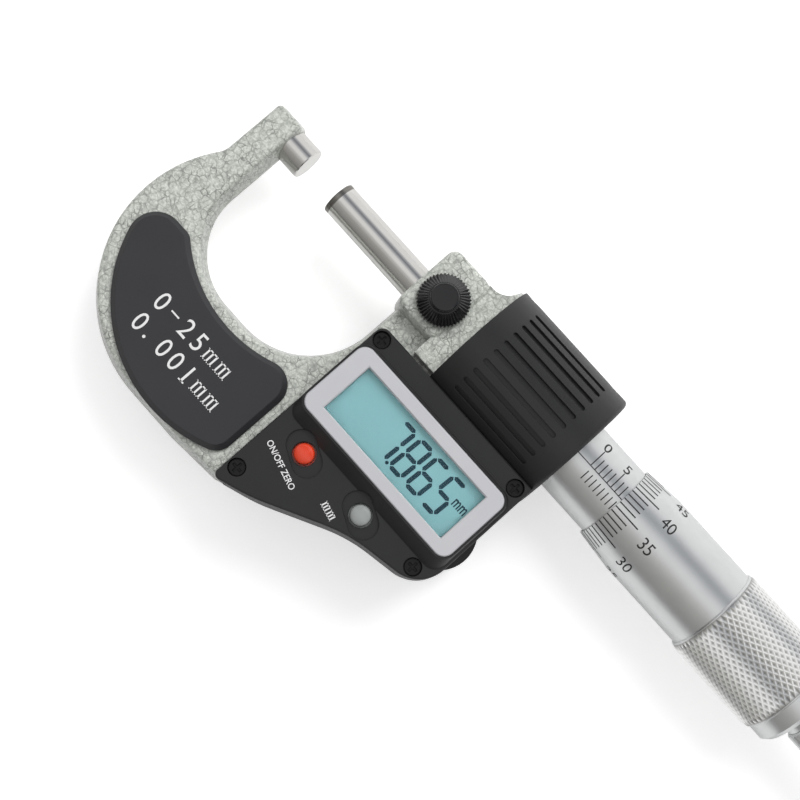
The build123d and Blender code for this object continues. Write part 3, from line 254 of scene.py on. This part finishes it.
# %% Metals
ground_steel = machined("ground_steel", (0.62, 0.61, 0.59), (0.70, 0.69, 0.67), 0.12, 0.19, 0.3)
satin_chrome = machined(
    "satin_chrome", (0.66, 0.67, 0.67), (0.75, 0.76, 0.76), 0.3, 0.38, 0.85, sparkle=2.0,
)
carbide = machined("carbide", (0.13, 0.12, 0.11), (0.30, 0.29, 0.27), 0.22, 0.32, 0.3)
cell_steel = machined("cell_steel", (0.62, 0.61, 0.58), (0.7, 0.69, 0.66), 0.2, 0.28, 0.2)
brass = machined("brass", (0.72, 0.52, 0.22), (0.8, 0.6, 0.28), 0.25, 0.34, 0.3)
print("nodes in the chrome:", len(satin_chrome.node_tree.nodes))

# %% [markdown]
# ## The frame's hammered enamel
# The casting has a stoved enamel that draws itself into rounded cells while it dries: pale
# grey-green islands with thin dark veins between them, under a glossy skin. Voronoi cells whose
# coordinates are bent by noise give the veins, a second finer set breaks up the islands, and the
# distance to the vein is also the height, so that each island is slightly domed.

# %% Enamel: veins and islands
enamel, tree, shader, place = new_finish("enamel", 0.32, coat=0.6, coat_roughness=0.12)
bend = noise(tree, place.outputs["Object"], 900.0, detail=3.0)
centred = tree.nodes.new("ShaderNodeVectorMath")
centred.operation = "SUBTRACT"
centred.inputs[1].default_value = (0.5, 0.5, 0.5)
join(tree, bend.outputs["Color"], centred.inputs[0])
bent = tree.nodes.new("ShaderNodeVectorMath")
bent.operation = "MULTIPLY_ADD"
bent.inputs[1].default_value = (0.9 * MM, 0.9 * MM, 0.9 * MM)
join(tree, centred.outputs["Vector"], bent.inputs[0])
join(tree, place.outputs["Object"], bent.inputs[2])
vein_masks = []
for cell_size, vein_width in ((1.25, 0.11), (0.62, 0.12)):
    cells = tree.nodes.new("ShaderNodeTexVoronoi")
    cells.feature = "DISTANCE_TO_EDGE"
    cells.inputs["Scale"].default_value = 1 / (cell_size * MM)
    join(tree, bent.outputs["Vector"], cells.inputs["Vector"])
    vein = tree.nodes.new("ShaderNodeMapRange")
    vein.interpolation_type = "SMOOTHSTEP"
    vein.inputs["From Max"].default_value = vein_width
    join(tree, cells.outputs["Distance"], vein.inputs["Value"])
    vein_masks.append(vein.outputs["Result"])
print("vein masks:", len(vein_masks))

# %% Enamel: colours
mottle = noise(tree, place.outputs["Object"], 1700.0, detail=4.0, roughness=0.65)
island = tree.nodes.new("ShaderNodeValToRGB")
island.color_ramp.elements[0].position = 0.34
island.color_ramp.elements[0].color = (0.40, 0.425, 0.385, 1)
island.color_ramp.elements[1].position = 0.62
island.color_ramp.elements[1].color = (0.72, 0.74, 0.68, 1)
join(tree, mottle.outputs["Fac"], island.inputs["Fac"])
strength = noise(tree, place.outputs["Object"], 420.0)
colour = island.outputs["Color"]
for mask, depth in zip(vein_masks, (0.8, 0.4)):
    fade = tree.nodes.new("ShaderNodeMapRange")
    fade.inputs["From Min"].default_value = 0.3
    fade.inputs["From Max"].default_value = 0.65
    fade.inputs["To Max"].default_value = depth
    join(tree, strength.outputs["Fac"], fade.inputs["Value"])
    inverse = calculate(tree, "SUBTRACT", 1.0, mask)
    amount = calculate(tree, "MULTIPLY", inverse, fade.outputs["Result"])
    darken = tree.nodes.new("ShaderNodeMix")
    darken.data_type = "RGBA"
    darken.inputs["B"].default_value = (0.13, 0.14, 0.125, 1)
    join(tree, amount, darken.inputs["Factor"])
    join(tree, colour, darken.inputs["A"])
    colour = darken.outputs["Result"]
join(tree, colour, shader.inputs["Base Color"])

# %% Enamel: domed islands
dome = calculate(tree, "MULTIPLY_ADD", mottle.outputs["Fac"], 0.35, vein_masks[0])
hammered = tree.nodes.new("ShaderNodeBump")
hammered.inputs["Strength"].default_value = 0.75
hammered.inputs["Distance"].default_value = 0.05 * MM
join(tree, dome, hammered.inputs["Height"])
soft_edges(tree, hammered, 0.4 * MM)
join(tree, hammered.outputs["Normal"], shader.inputs["Normal"])
print("enamel nodes:", len(tree.nodes))

# %% [markdown]
# ## The display
# The glass of the display is teal with faint clouds, and a painted shadow of the bezel darkens a
# strip at its right end. The clear window over it is thin glass, whose IOR is set on the shader
# itself, so that the export keeps it.

# %% Display glass and window
display_glass, tree, shader, place = new_finish("display_glass", 0.3, specular=0.4)
spread = noise(tree, place.outputs["Object"], 45.0, detail=1.0)
teal = mix_colours(tree, spread.outputs["Fac"], (0.16, 0.34, 0.36), (0.205, 0.405, 0.43))
along = tree.nodes.new("ShaderNodeSeparateXYZ")
join(tree, place.outputs["Object"], along.inputs["Vector"])
# Painted shadow of the bezel: the glass is made darker in a strip over its right end.
painted_shadow_mask = tree.nodes.new("ShaderNodeMapRange")
painted_shadow_mask.inputs["From Min"].default_value = 64.0 * MM
painted_shadow_mask.inputs["From Max"].default_value = 65.0 * MM
painted_shadow_mask.inputs["To Max"].default_value = 0.6
join(tree, along.outputs["X"], painted_shadow_mask.inputs["Value"])
painted_shadow_mix = tree.nodes.new("ShaderNodeMix")
painted_shadow_mix.data_type = "RGBA"
painted_shadow_mix.inputs["B"].default_value = (0.08, 0.18, 0.20, 1)
join(tree, painted_shadow_mask.outputs["Result"], painted_shadow_mix.inputs["Factor"])
join(tree, teal, painted_shadow_mix.inputs["A"])
join(tree, painted_shadow_mix.outputs["Result"], shader.inputs["Base Color"])

clear_window, tree, shader, place = new_finish("clear_window", 0.03, specular=0.3)
shader.inputs["Transmission Weight"].default_value = 1.0
shader.inputs["IOR"].default_value = 1.1
shader.inputs["Base Color"].default_value = (0.98, 1.0, 1.0, 1)
print("display glass nodes:", len(display_glass.node_tree.nodes))

# %% [markdown]
# ## Inks
# The scales are black, the words on the plastics are printed white, and the display's segments
# are a dark blue-green. All are flat pieces that lie on their carrier.

# %% Inks
scale_black = moulded("scale_black", (0.012, 0.012, 0.012), (0.022, 0.022, 0.022), 0.6, 0.2)
print_white = moulded("print_white", (0.80, 0.80, 0.80), (0.86, 0.86, 0.86), 0.6, 0.2)
segment_dark = moulded(
    "segment_dark", (0.008, 0.03, 0.045), (0.012, 0.036, 0.052), 0.6, 0.05, specular=0.2,
)
print("inks:", scale_black.name, print_white.name, segment_dark.name)

# %% Dress the solids
finish_of = {
    "enamel": enamel, "ground_steel": ground_steel, "satin_chrome": satin_chrome,
    "carbide": carbide, "housing_black": housing_black, "grip_black": grip_black,
    "knob_black": knob_black, "bezel_grey": bezel_grey, "clear_window": clear_window,
    "display_glass": display_glass, "holder_white": holder_white, "board_green": board_green,
    "cell_steel": cell_steel, "black_screw": black_screw, "brass": brass,
    "button_red": button_red, "button_grey": button_grey, "seal_rubber": seal_rubber,
}
for piece in nodes.values():
    for place_of_finish in piece.material_slots:
        slot_name = place_of_finish.material.name
        place_of_finish.material = finish_of[slot_name]
print("dressed:", len(nodes), "solids with", len(finish_of), "finishes")

# %% [markdown]
# ## Making a piece
# Each new piece is shaped in a bmesh and finished here: the mesh is linked, gets its material
# and rides on its body.


# %% Helpers: finish a piece, bars and words
def finish_piece(bm, name, material, body):
    mesh = bpy.data.meshes.new(name)
    bm.to_mesh(mesh)
    bm.free()
    mesh.materials.append(material)
    piece = bpy.data.objects.new(name, mesh)
    bpy.context.scene.collection.objects.link(piece)
    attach(piece, body)
    print(name, "faces", len(mesh.polygons))
    return piece


def add_bar(bm, centre_x, centre_y, length, width, cuts_x=1, cuts_y=1):
    place_bar = Matrix.Translation((centre_x, centre_y, 0)) @ Matrix.Diagonal((length, width, 1, 1))
    bmesh.ops.create_grid(bm, x_segments=cuts_x, y_segments=cuts_y, size=0.5, matrix=place_bar)


def add_words(bm, words, height, place_words, squeeze_x=1.0, weight=0.0, width=None):
    curve = bpy.data.curves.new("words", "FONT")
    curve.body = words
    curve.size = 1.0
    curve.offset = weight
    curve.resolution_u = 4
    curve.align_x = "CENTER"
    holder = bpy.data.objects.new("words", curve)
    bpy.context.scene.collection.objects.link(holder)
    bpy.context.view_layer.update()
    flat = bpy.data.meshes.new_from_object(holder)
    digit_height = 0.729  # of a figure in the built-in type at size 1
    if width:
        drawn = max(v.co.x for v in flat.vertices) - min(v.co.x for v in flat.vertices)
        squeeze_x = width / drawn * digit_height / height
    fit = Matrix.Diagonal((height / digit_height * squeeze_x, height / digit_height, 1, 1))
    centre = Matrix.Translation((0, -height / 2, 0))
    flat.transform(place_words @ centre @ fit)
    bm.from_mesh(flat)
    bpy.data.objects.remove(holder)
    bpy.data.curves.remove(curve)
    bpy.data.meshes.remove(flat)


def wrap_round(bm, radius_at, lift, cuts_x=()):
    """Bends a flat drawing round the X axis: its y is the arc length from the top."""
    for x in cuts_x:
        geometry = bm.verts[:] + bm.edges[:] + bm.faces[:]
        bmesh.ops.bisect_plane(bm, geom=geometry, plane_co=(x, 0, 0), plane_no=(1, 0, 0))
    span = max(abs(v.co.y) for v in bm.verts)
    step = 0.45 * MM
    steps = int(span / step) + 1
    for i in range(-steps, steps + 1):
        geometry = bm.verts[:] + bm.edges[:] + bm.faces[:]
        bmesh.ops.bisect_plane(bm, geom=geometry, plane_co=(0, i * step, 0), plane_no=(0, 1, 0))
    bmesh.ops.remove_doubles(bm, verts=bm.verts, dist=0.0005 * MM)
    for v in bm.verts:
        radius = radius_at(v.co.x)
        angle = v.co.y / thimble_radius
        reach = radius + lift
        v.co = Vector((v.co.x, reach * math.sin(angle), reach * math.cos(angle)))
    bmesh.ops.recalc_face_normals(bm, faces=bm.faces)
    for face in bm.faces:
        middle_of_face = face.calc_center_median()
        if face.normal.dot(Vector((0, middle_of_face.y, middle_of_face.z))) < 0:
            face.normal_flip()


def arc(degrees):
    return math.radians(degrees) * thimble_radius


# %% [markdown]
# ## Domed push buttons
# The photographed buttons have domed tops. Each is turned from a half profile about its own
# axis, with the flange and height of the plainer solid that it replaces.


# %% Push buttons
flange_thickness = 0.8 * MM
cap_radius = 1.78 * MM
dome_height = 0.7 * MM
dome_steps = 8


def turn_button(name, node, material, body):
    low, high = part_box(node)
    axis = Vector(((low.x + high.x) / 2, (low.y + high.y) / 2, 0))
    flange_radius = (high.x - low.x) / 2
    flange_top_z = low.z + flange_thickness
    profile = [
        (0, low.z), (flange_radius, low.z),
        (flange_radius, flange_top_z), (cap_radius, flange_top_z),
    ]
    for i in range(dome_steps + 1):
        angle = math.radians(90 * i / dome_steps)
        height = high.z - dome_height + dome_height * math.sin(angle)
        profile.append((cap_radius * math.cos(angle), height))
    bm = bmesh.new()
    points = [bm.verts.new(axis + Vector((radius, 0, z))) for radius, z in profile]
    lines = [bm.edges.new(pair) for pair in zip(points, points[1:])]
    bmesh.ops.spin(bm, geom=points + lines, cent=axis, axis=(0, 0, 1), angle=2 * math.pi, steps=48)
    bmesh.ops.remove_doubles(bm, verts=bm.verts, dist=0.001 * MM)
    bmesh.ops.recalc_face_normals(bm, faces=bm.faces)
    for face in bm.faces:
        face.smooth = face.calc_center_median().z > high.z - dome_height
    button = finish_piece(bm, name, material, body)
    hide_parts(node)


turn_button("power_cap", "power_button", button_red, "power_button_unit")
turn_button("unit_cap", "unit_button", button_grey, "unit_button_unit")

# %% [markdown]
# ## Scale on the sleeve
# A line runs along the top of the sleeve. Millimetre marks stand on its far side, the fifth ones
# are longer and carry a figure, and the half millimetres are on the near side. The marks are
# drawn flat, as on paper, and the drawing is then bent round the sleeve.

# %% Sleeve scale
line_width = 0.2 * MM
full_scale = 25
long_mark, short_mark, half_mark = 29, 19, 14.8  # degrees round the sleeve
half_mark_middle = -14.1
figure_angle = 39
line_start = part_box("sleeve")[0].x + 2 * MM
line_end = zero_mark_x + (full_scale + 0.5) * MM
bm = bmesh.new()
add_bar(bm, (line_start + line_end) / 2, 0, line_end - line_start, line_width)
for i in range(full_scale + 1):
    reach = short_mark if i % 5 else long_mark
    add_bar(bm, zero_mark_x + i * MM, arc(reach / 2), line_width, arc(reach))
    if i < full_scale:
        half_x = zero_mark_x + (i + 0.5) * MM
        add_bar(bm, half_x, arc(half_mark_middle), line_width, arc(half_mark))
for i in range(0, full_scale + 1, 5):
    spot = Matrix.Translation((zero_mark_x + i * MM, arc(figure_angle), 0))
    add_words(bm, str(i), 2.65 * MM, spot, squeeze_x=0.82, weight=0.005)
wrap_round(bm, lambda x: sleeve_radius, lift=0.008 * MM)
finish_piece(bm, "sleeve_scale", scale_black, "frame_unit")

# %% [markdown]
# ## Scale on the thimble
# Fifty marks run round the tapered edge, one for each hundredth of a millimetre. Every fifth one
# is longer, and its figure stands behind it on the straight part.


# %% Thimble scale
def thimble_surface(x):
    share = min(max((x - thimble_edge_x) / (cone_end_x - thimble_edge_x), 0), 1)
    return thimble_edge_radius + share * (thimble_radius - thimble_edge_radius)


marks_round = 50
mark_at_line = 36.5  # the mark that faces the sleeve's line at the pictured reading
figure_lag = 5.4  # degrees between a mark and its figure
figure_x = thimble_edge_x + 8.5 * MM
bm = bmesh.new()
for i in range(marks_round):
    length = (3.7 if i % 5 else 5.4) * MM
    angle = (i - mark_at_line) * 360 / marks_round
    angle = (angle + 180) % 360 - 180
    add_bar(bm, thimble_edge_x + length / 2, arc(angle), length, 1.25 * line_width)
    if i % 5 == 0:
        spot = Matrix.Translation((figure_x, arc(angle - figure_lag), 0))
        add_words(bm, str(i), 2.4 * MM, spot, squeeze_x=0.9)
wrap_round(bm, thimble_surface, lift=0.015 * MM, cuts_x=[cone_end_x])
finish_piece(bm, "thimble_scale", scale_black, "spindle_unit")

# %% [markdown]
# ## Knurl
# Two sets of crossing ridges enclose rows of small pits. A grid is bent round the band, every
# second crossing point is raised, and the raised points are joined across each cell, so that the
# ridges run slanting round the band. Shade is painted into the pits: the metal's colour is darker
# down in them, and the distance from the axis says where that is. The band's two open ends are
# drawn in under the thimble's surface and joined there, which closes the mesh.

# %% Knurled chrome
knurl_start_x = 105.3 * MM
knurl_end_x = 124.3 * MM
knurl_root = 8.955 * MM
knurl_inside = 8.8 * MM
knurl_height = 0.25 * MM
knurled_chrome, tree, shader, place = new_finish("knurled_chrome", 0.34, metallic=1.0)
across = tree.nodes.new("ShaderNodeVectorMath")
across.operation = "MULTIPLY"
across.inputs[1].default_value = (0, 1, 1)
join(tree, place.outputs["Object"], across.inputs[0])
from_axis = tree.nodes.new("ShaderNodeVectorMath")
from_axis.operation = "LENGTH"
join(tree, across.outputs["Vector"], from_axis.inputs[0])
# Painted shade: the colour is darker where the surface lies deep in the pits, below the ridges.
pit_shade_mask = tree.nodes.new("ShaderNodeMapRange")
pit_shade_mask.inputs["From Min"].default_value = knurl_root + 0.02 * MM
pit_shade_mask.inputs["From Max"].default_value = knurl_root + 0.85 * knurl_height
join(tree, from_axis.outputs["Value"], pit_shade_mask.inputs["Value"])
pit_shade = mix_colours(
    tree, pit_shade_mask.outputs["Result"], (0.42, 0.42, 0.41), (0.97, 0.97, 0.96),
)
join(tree, pit_shade, shader.inputs["Base Color"])
print("knurl band", round((knurl_end_x - knurl_start_x) / MM, 1), "mm long")

# %% Knurl: ridges and pits
cells_round = 54
cells_long = 10
plain_rims = 0.7 * MM
band_length = knurl_end_x - knurl_start_x - plain_rims
bm = bmesh.new()
add_bar(
    bm, (knurl_start_x + knurl_end_x) / 2, 0, band_length, 2 * math.pi * knurl_root,
    2 * cells_long, 2 * cells_round,
)
row_pitch = band_length / (2 * cells_long)
turn_pitch = math.pi / cells_round
first_x = min(v.co.x for v in bm.verts)
ridge_points = []
for v in bm.verts:
    row = round((v.co.x - first_x) / row_pitch)
    angle = v.co.y / knurl_root
    spoke = round((angle + math.pi) / turn_pitch)
    on_ridge = (row + spoke) % 2 == 0
    if on_ridge:
        ridge_points.append(v)
    raised = on_ridge and 0 < row < 2 * cells_long
    radius = knurl_root + (knurl_height if raised else 0)
    v.co = Vector((v.co.x, radius * math.sin(angle), radius * math.cos(angle)))
bmesh.ops.connect_verts(bm, verts=ridge_points)
bmesh.ops.remove_doubles(bm, verts=bm.verts, dist=0.001 * MM)
print("ridge points:", len(ridge_points))

# %% Knurl: closed ends
end_rings = [edge for edge in bm.edges if edge.is_boundary]
drawn_in = bmesh.ops.extrude_edge_only(bm, edges=end_rings)["geom"]
inner_points = [part for part in drawn_in if isinstance(part, bmesh.types.BMVert)]
for v in inner_points:
    v.co = Vector((v.co.x, v.co.y * knurl_inside / knurl_root, v.co.z * knurl_inside / knurl_root))
inner_rings = [
    part for part in drawn_in if isinstance(part, bmesh.types.BMEdge) and part.is_boundary
]
bmesh.ops.bridge_loops(bm, edges=inner_rings)
bmesh.ops.recalc_face_normals(bm, faces=bm.faces)
finish_piece(bm, "thimble_knurl", knurled_chrome, "spindle_unit")

# %% [markdown]
# ## Display segments
# The reading is shown with seven-segment figures that lean to the right. A segment is a bar with
# pointed ends, so six corners are enough, and a leaning figure is a shear of an upright one.

# %% Display segments
figure_width = 2.75 * MM
figure_height = 6.9 * MM
segment_width = 0.78 * MM
lit = {"7": "abc", "8": "abcdefg", "6": "acdefg", "5": "acdfg"}
half_w, half_h = figure_width / 2, figure_height / 2
spots = {
    "a": ((0, half_h), 0), "g": ((0, 0), 0), "d": ((0, -half_h), 0),
    "f": ((-half_w, half_h / 2), 90), "b": ((half_w, half_h / 2), 90),
    "e": ((-half_w, -half_h / 2), 90), "c": ((half_w, -half_h / 2), 90),
}


def add_segment(bm, length, place_segment):
    reach, shoulder = length / 2, length / 2 - segment_width / 2
    side = segment_width / 2
    corners = [
        (-reach, 0), (-shoulder, -side), (shoulder, -side),
        (reach, 0), (shoulder, side), (-shoulder, side),
    ]
    ring = [bm.verts.new(place_segment @ Vector((x, y, 0))) for x, y in corners]
    bm.faces.new(ring)


bm = bmesh.new()
lean = Matrix.Identity(4)
lean[0][1] = 0.05
joint_gap = 0.22 * MM
segment_z = glass_top_z + 0.01 * MM
row_y = -22.3 * MM
figure_centres = {"7": 47.5, "8": 51.65, "6": 55.75, "5": 59.9}
for figure, centre_x in figure_centres.items():
    for letter in lit[figure]:
        (dx, dy), turn = spots[letter]
        length = (half_h if turn else figure_width) - joint_gap
        inside = Matrix.Translation((dx, dy, 0)) @ Matrix.Rotation(math.radians(turn), 4, "Z")
        outside = Matrix.Translation((centre_x * MM, row_y, segment_z))
        add_segment(bm, length, outside @ lean @ inside)
point = Matrix.Translation((49.45 * MM, -25.75 * MM, segment_z))
bmesh.ops.create_circle(bm, cap_ends=True, segments=12, radius=0.33 * MM, matrix=point)
unit_spot = Matrix.Translation((63.15 * MM, -21.3 * MM, segment_z))
add_words(bm, "mm", 2.1 * MM, unit_spot, weight=0.02, width=2.85 * MM)
bmesh.ops.recalc_face_normals(bm, faces=bm.faces)
for face in bm.faces:
    if face.normal.z < 0:
        face.normal_flip()
finish_piece(bm, "display_segments", segment_dark, "frame_unit")

# %% [markdown]
# ## Printed words
# The measuring range and the step are printed on the grip in a type with slab feet, and the
# buttons are named on the deck. The letters are flat, and lie a hair above their carrier.


# %% Words on the grip and on the deck
def add_slab_m(bm, place_letter, height, width, stem):
    """An m of bars with slab feet, which is shaped flat and then placed."""
    letter = bmesh.new()
    for x in (-width / 2, 0, width / 2):
        add_bar(letter, x, height / 2, stem, height)
        add_bar(letter, x, stem * 0.25, stem * 2.1, stem * 0.5)
    add_bar(letter, -width / 2 - stem * 0.5, height - stem * 0.25, stem * 1.2, stem * 0.5)
    for x in (-width / 4, width / 4):
        add_bar(letter, x, height - stem * 0.35, width / 2, stem * 0.7)
    bmesh.ops.transform(letter, matrix=place_letter, verts=letter.verts)
    mesh = bpy.data.meshes.new("m")
    letter.to_mesh(mesh)
    bm.from_mesh(mesh)
    letter.free()
    bpy.data.meshes.remove(mesh)


def place_on(x, y, z, degrees=0.0):
    return Matrix.Translation((x * MM, y * MM, z)) @ Matrix.Rotation(math.radians(degrees), 4, "Z")


bm = bmesh.new()
pad_print_z = pad_top_z + 0.01 * MM
lines = (
    ("0-25mm", 3.08, -35.65, 3.17),
    ("0.001mm", 3.19, -40.75, 3.08),
)
for words, first, centre_y, pitch in lines:
    for i, letter in enumerate(words):
        x = first + i * pitch
        if letter == "m":
            foot_line = place_on(x, centre_y - 1.55, pad_print_z)
            add_slab_m(bm, foot_line, height=2.2 * MM, width=1.85 * MM, stem=0.34 * MM)
        elif letter == ".":
            dot = place_on(x - 0.7, centre_y - 1.4, pad_print_z)
            bmesh.ops.create_circle(bm, cap_ends=True, segments=12, radius=0.3 * MM, matrix=dot)
        elif letter == "-":
            add_bar(bm, x * MM, centre_y * MM, 1.9 * MM, 0.3 * MM)
        else:
            spot = place_on(x, centre_y, pad_print_z)
            add_words(bm, letter, 3.6 * MM, spot, squeeze_x=0.92)
        if letter == "1":
            add_bar(bm, x * MM, (centre_y - 1.7) * MM, 1.3 * MM, 0.26 * MM)
for v in bm.verts:
    v.co.z = pad_print_z
finish_piece(bm, "pad_print", print_white, "frame_unit")

bm = bmesh.new()
deck_print_z = deck_z + 0.01 * MM
under_power_button = place_on(37.93, -39.2, deck_print_z, -15.7)
add_words(bm, "ON/OFF ZERO", 1.15 * MM, under_power_button, weight=0.01, width=9.1 * MM)
for x, y in ((48.0, -38.85), (49.65, -39.25)):
    spot = place_on(x, y, deck_print_z, -13.6)
    add_slab_m(bm, spot, height=1.25 * MM, width=1.05 * MM, stem=0.24 * MM)
finish_piece(bm, "deck_print", print_white, "frame_unit")

# %% [markdown]
# ## Floor
# The micrometer lies on its back on a white sheet. The sheet is nearly white where the lamps
# light it and keeps the soft shadow. It gives light of its own to the camera, and less to
# reflections, so that the ground runs into the white of the surroundings.

# %% Floor
bm = bmesh.new()
floor_gap = 0.02 * MM
bmesh.ops.create_grid(bm, x_segments=1, y_segments=1, size=3.0)
bmesh.ops.translate(bm, verts=bm.verts, vec=(0.06, -0.02, back_z - floor_gap))
floor_mesh = bpy.data.meshes.new("floor")
bm.to_mesh(floor_mesh)
bm.free()
floor = bpy.data.objects.new("floor", floor_mesh)
bpy.context.scene.collection.objects.link(floor)
sheet, tree, shader, place = new_finish("white sheet", 0.9, specular=0.1)
shader.inputs["Base Color"].default_value = (0.86, 0.86, 0.86, 1)
shader.inputs["Emission Color"].default_value = (1, 1, 1, 1)
path = tree.nodes.new("ShaderNodeLightPath")
in_metal_or_glass = calculate(
    tree, "MAXIMUM", path.outputs["Is Glossy Ray"], path.outputs["Is Transmission Ray"],
)
reflected_share = calculate(tree, "MULTIPLY", in_metal_or_glass, 0.15)
share = calculate(tree, "MULTIPLY_ADD", path.outputs["Is Camera Ray"], 0.5, reflected_share)
join(tree, share, shader.inputs["Emission Strength"])
floor_mesh.materials.append(sheet)
print("floor at", round(back_z / MM, 2))

# %% [markdown]
# ## Surroundings
# The camera sees plain white. Reflections see a soft studio: its brightness changes with the
# angle round the spindle's axis, a bright strip overhead, dimmer bands beside it, and white
# towards the far horizon. Matt surfaces get a softer light that is weaker from the near side.


# %% World: bands of light
def fill_ramp(ramp, stops):
    """Each stop is an angle from -180 to 180 degrees and a colour."""
    while len(ramp.elements) < len(stops):
        ramp.elements.new(0.5)
    for element, (degrees, colour_there) in zip(ramp.elements, stops):
        element.position = (degrees + 180) / 360
        element.color = (*colour_there, 1)


world = bpy.data.worlds.new("studio")
bpy.context.scene.world = world
world.use_nodes = True
tree = world.node_tree
tree.nodes.clear()
direction = tree.nodes.new("ShaderNodeTexCoord")
parts = tree.nodes.new("ShaderNodeSeparateXYZ")
join(tree, direction.outputs["Generated"], parts.inputs["Vector"])
turn = calculate(tree, "ARCTAN2", parts.outputs["Y"], parts.outputs["Z"])
position = tree.nodes.new("ShaderNodeMapRange")
position.inputs["From Min"].default_value = -math.pi
position.inputs["From Max"].default_value = math.pi
join(tree, turn, position.inputs["Value"])
bands = tree.nodes.new("ShaderNodeValToRGB")
bands.color_ramp.interpolation = "EASE"
mirror_stops = (  # degrees, level, warmth
    (-180, 0.9, 0.0), (-120, 0.6, 0.0), (-92, 0.14, 0.0), (-76, 0.26, 0.01), (-62, 0.34, 0.02),
    (-40, 0.42, 0.02), (-22, 0.62, 0.01), (-8, 0.95, 0.0), (6, 0.92, 0.0), (18, 0.55, -0.03),
    (30, 0.24, -0.05), (42, 0.5, -0.03), (54, 0.98, 0.0), (120, 1.0, 0.0),
)
fill_ramp(bands.color_ramp, [
    (degrees, (level * (1 + warmth), level, level * (1 - 2 * warmth)))
    for degrees, level, warmth in mirror_stops
])
join(tree, position.outputs["Result"], bands.inputs["Fac"])
even_bands = tree.nodes.new("ShaderNodeValToRGB")
even_bands.color_ramp.interpolation = "EASE"
even_stops = ((-180, 0.5), (-110, 0.15), (-60, 0.25), (-20, 0.9), (40, 1.0), (180, 0.9))
fill_ramp(even_bands.color_ramp, [(degrees, (level,) * 3) for degrees, level in even_stops])
join(tree, position.outputs["Result"], even_bands.inputs["Fac"])
print("bands:", len(bands.color_ramp.elements), "and", len(even_bands.color_ramp.elements))

# %% World: what each kind of ray sees
path = tree.nodes.new("ShaderNodeLightPath")
mirror_look = tree.nodes.new("ShaderNodeBackground")
join(tree, bands.outputs["Color"], mirror_look.inputs["Color"])
even_look = tree.nodes.new("ShaderNodeBackground")
join(tree, even_bands.outputs["Color"], even_look.inputs["Color"])
even_look.inputs["Strength"].default_value = 0.62
white_look = tree.nodes.new("ShaderNodeBackground")
white_look.inputs["Color"].default_value = (1, 1, 1, 1)
glossy_or_even = tree.nodes.new("ShaderNodeMixShader")
join(tree, path.outputs["Is Glossy Ray"], glossy_or_even.inputs["Fac"])
join(tree, even_look.outputs["Background"], glossy_or_even.inputs[1])
join(tree, mirror_look.outputs["Background"], glossy_or_even.inputs[2])
direct = calculate(
    tree, "MAXIMUM", path.outputs["Is Camera Ray"], path.outputs["Is Transmission Ray"],
)
seen_or_not = tree.nodes.new("ShaderNodeMixShader")
join(tree, direct, seen_or_not.inputs["Fac"])
join(tree, glossy_or_even.outputs["Shader"], seen_or_not.inputs[1])
join(tree, white_look.outputs["Background"], seen_or_not.inputs[2])
world_out = tree.nodes.new("ShaderNodeOutputWorld")
join(tree, seen_or_not.outputs["Shader"], world_out.inputs["Surface"])
print("world ready:", world.name)

# %% [markdown]
# ## Lamps
# One large soft lamp on the far side gives the forms their shape and a soft shadow, and a second
# weak one fills from the near side. Both are area lamps that don't show in reflections.


# %% Lamps
def soft_lamp(name, place_at, target, size, power):
    data = bpy.data.lights.new(name, "AREA")
    data.shape = "DISK"
    data.size = size
    data.energy = power
    lamp = bpy.data.objects.new(name, data)
    lamp.location = place_at
    lamp.rotation_mode = "QUATERNION"
    lamp.rotation_quaternion = (Vector(target) - Vector(place_at)).to_track_quat("-Z", "Y")
    lamp.visible_glossy = False
    bpy.context.scene.collection.objects.link(lamp)
    print(name, power, "W")


middle = (0.06, -0.02, 0.0)
soft_lamp("key lamp", (0.02, 0.32, 0.42), middle, size=0.35, power=1.75)
soft_lamp("fill lamp", (0.12, -0.45, 0.35), middle, size=0.4, power=0.3)

# %% [markdown]
# ## Camera
# The photograph is taken from almost straight above, with the spindle running down to the right.
# The place and the three axes of the camera were fitted to the scale marks and to the diameters
# of the spindle, the sleeve and the thimble.

# %% Camera
camera_data = bpy.data.cameras.new("camera")
camera_data.sensor_width = 36.0
camera_data.lens = 65.24
camera_data.clip_start = 0.01
camera_data.clip_end = 10.0
camera = bpy.data.objects.new("camera", camera_data)
right = Vector((0.66623261, 0.74485067, 0.03649106))
down = Vector((0.74247361, -0.65793869, -0.12589525))
ahead = Vector((-0.06976428, 0.11096917, -0.99137217))
turned = Matrix((right, -down, -ahead)).transposed()
camera.rotation_mode = "QUATERNION"
camera.rotation_quaternion = turned.to_quaternion()
camera.location = (60.09 * MM, -44.18 * MM, 251.915 * MM)
bpy.context.scene.collection.objects.link(camera)
bpy.context.scene.camera = camera
bpy.context.scene.view_settings.view_transform = "Standard"
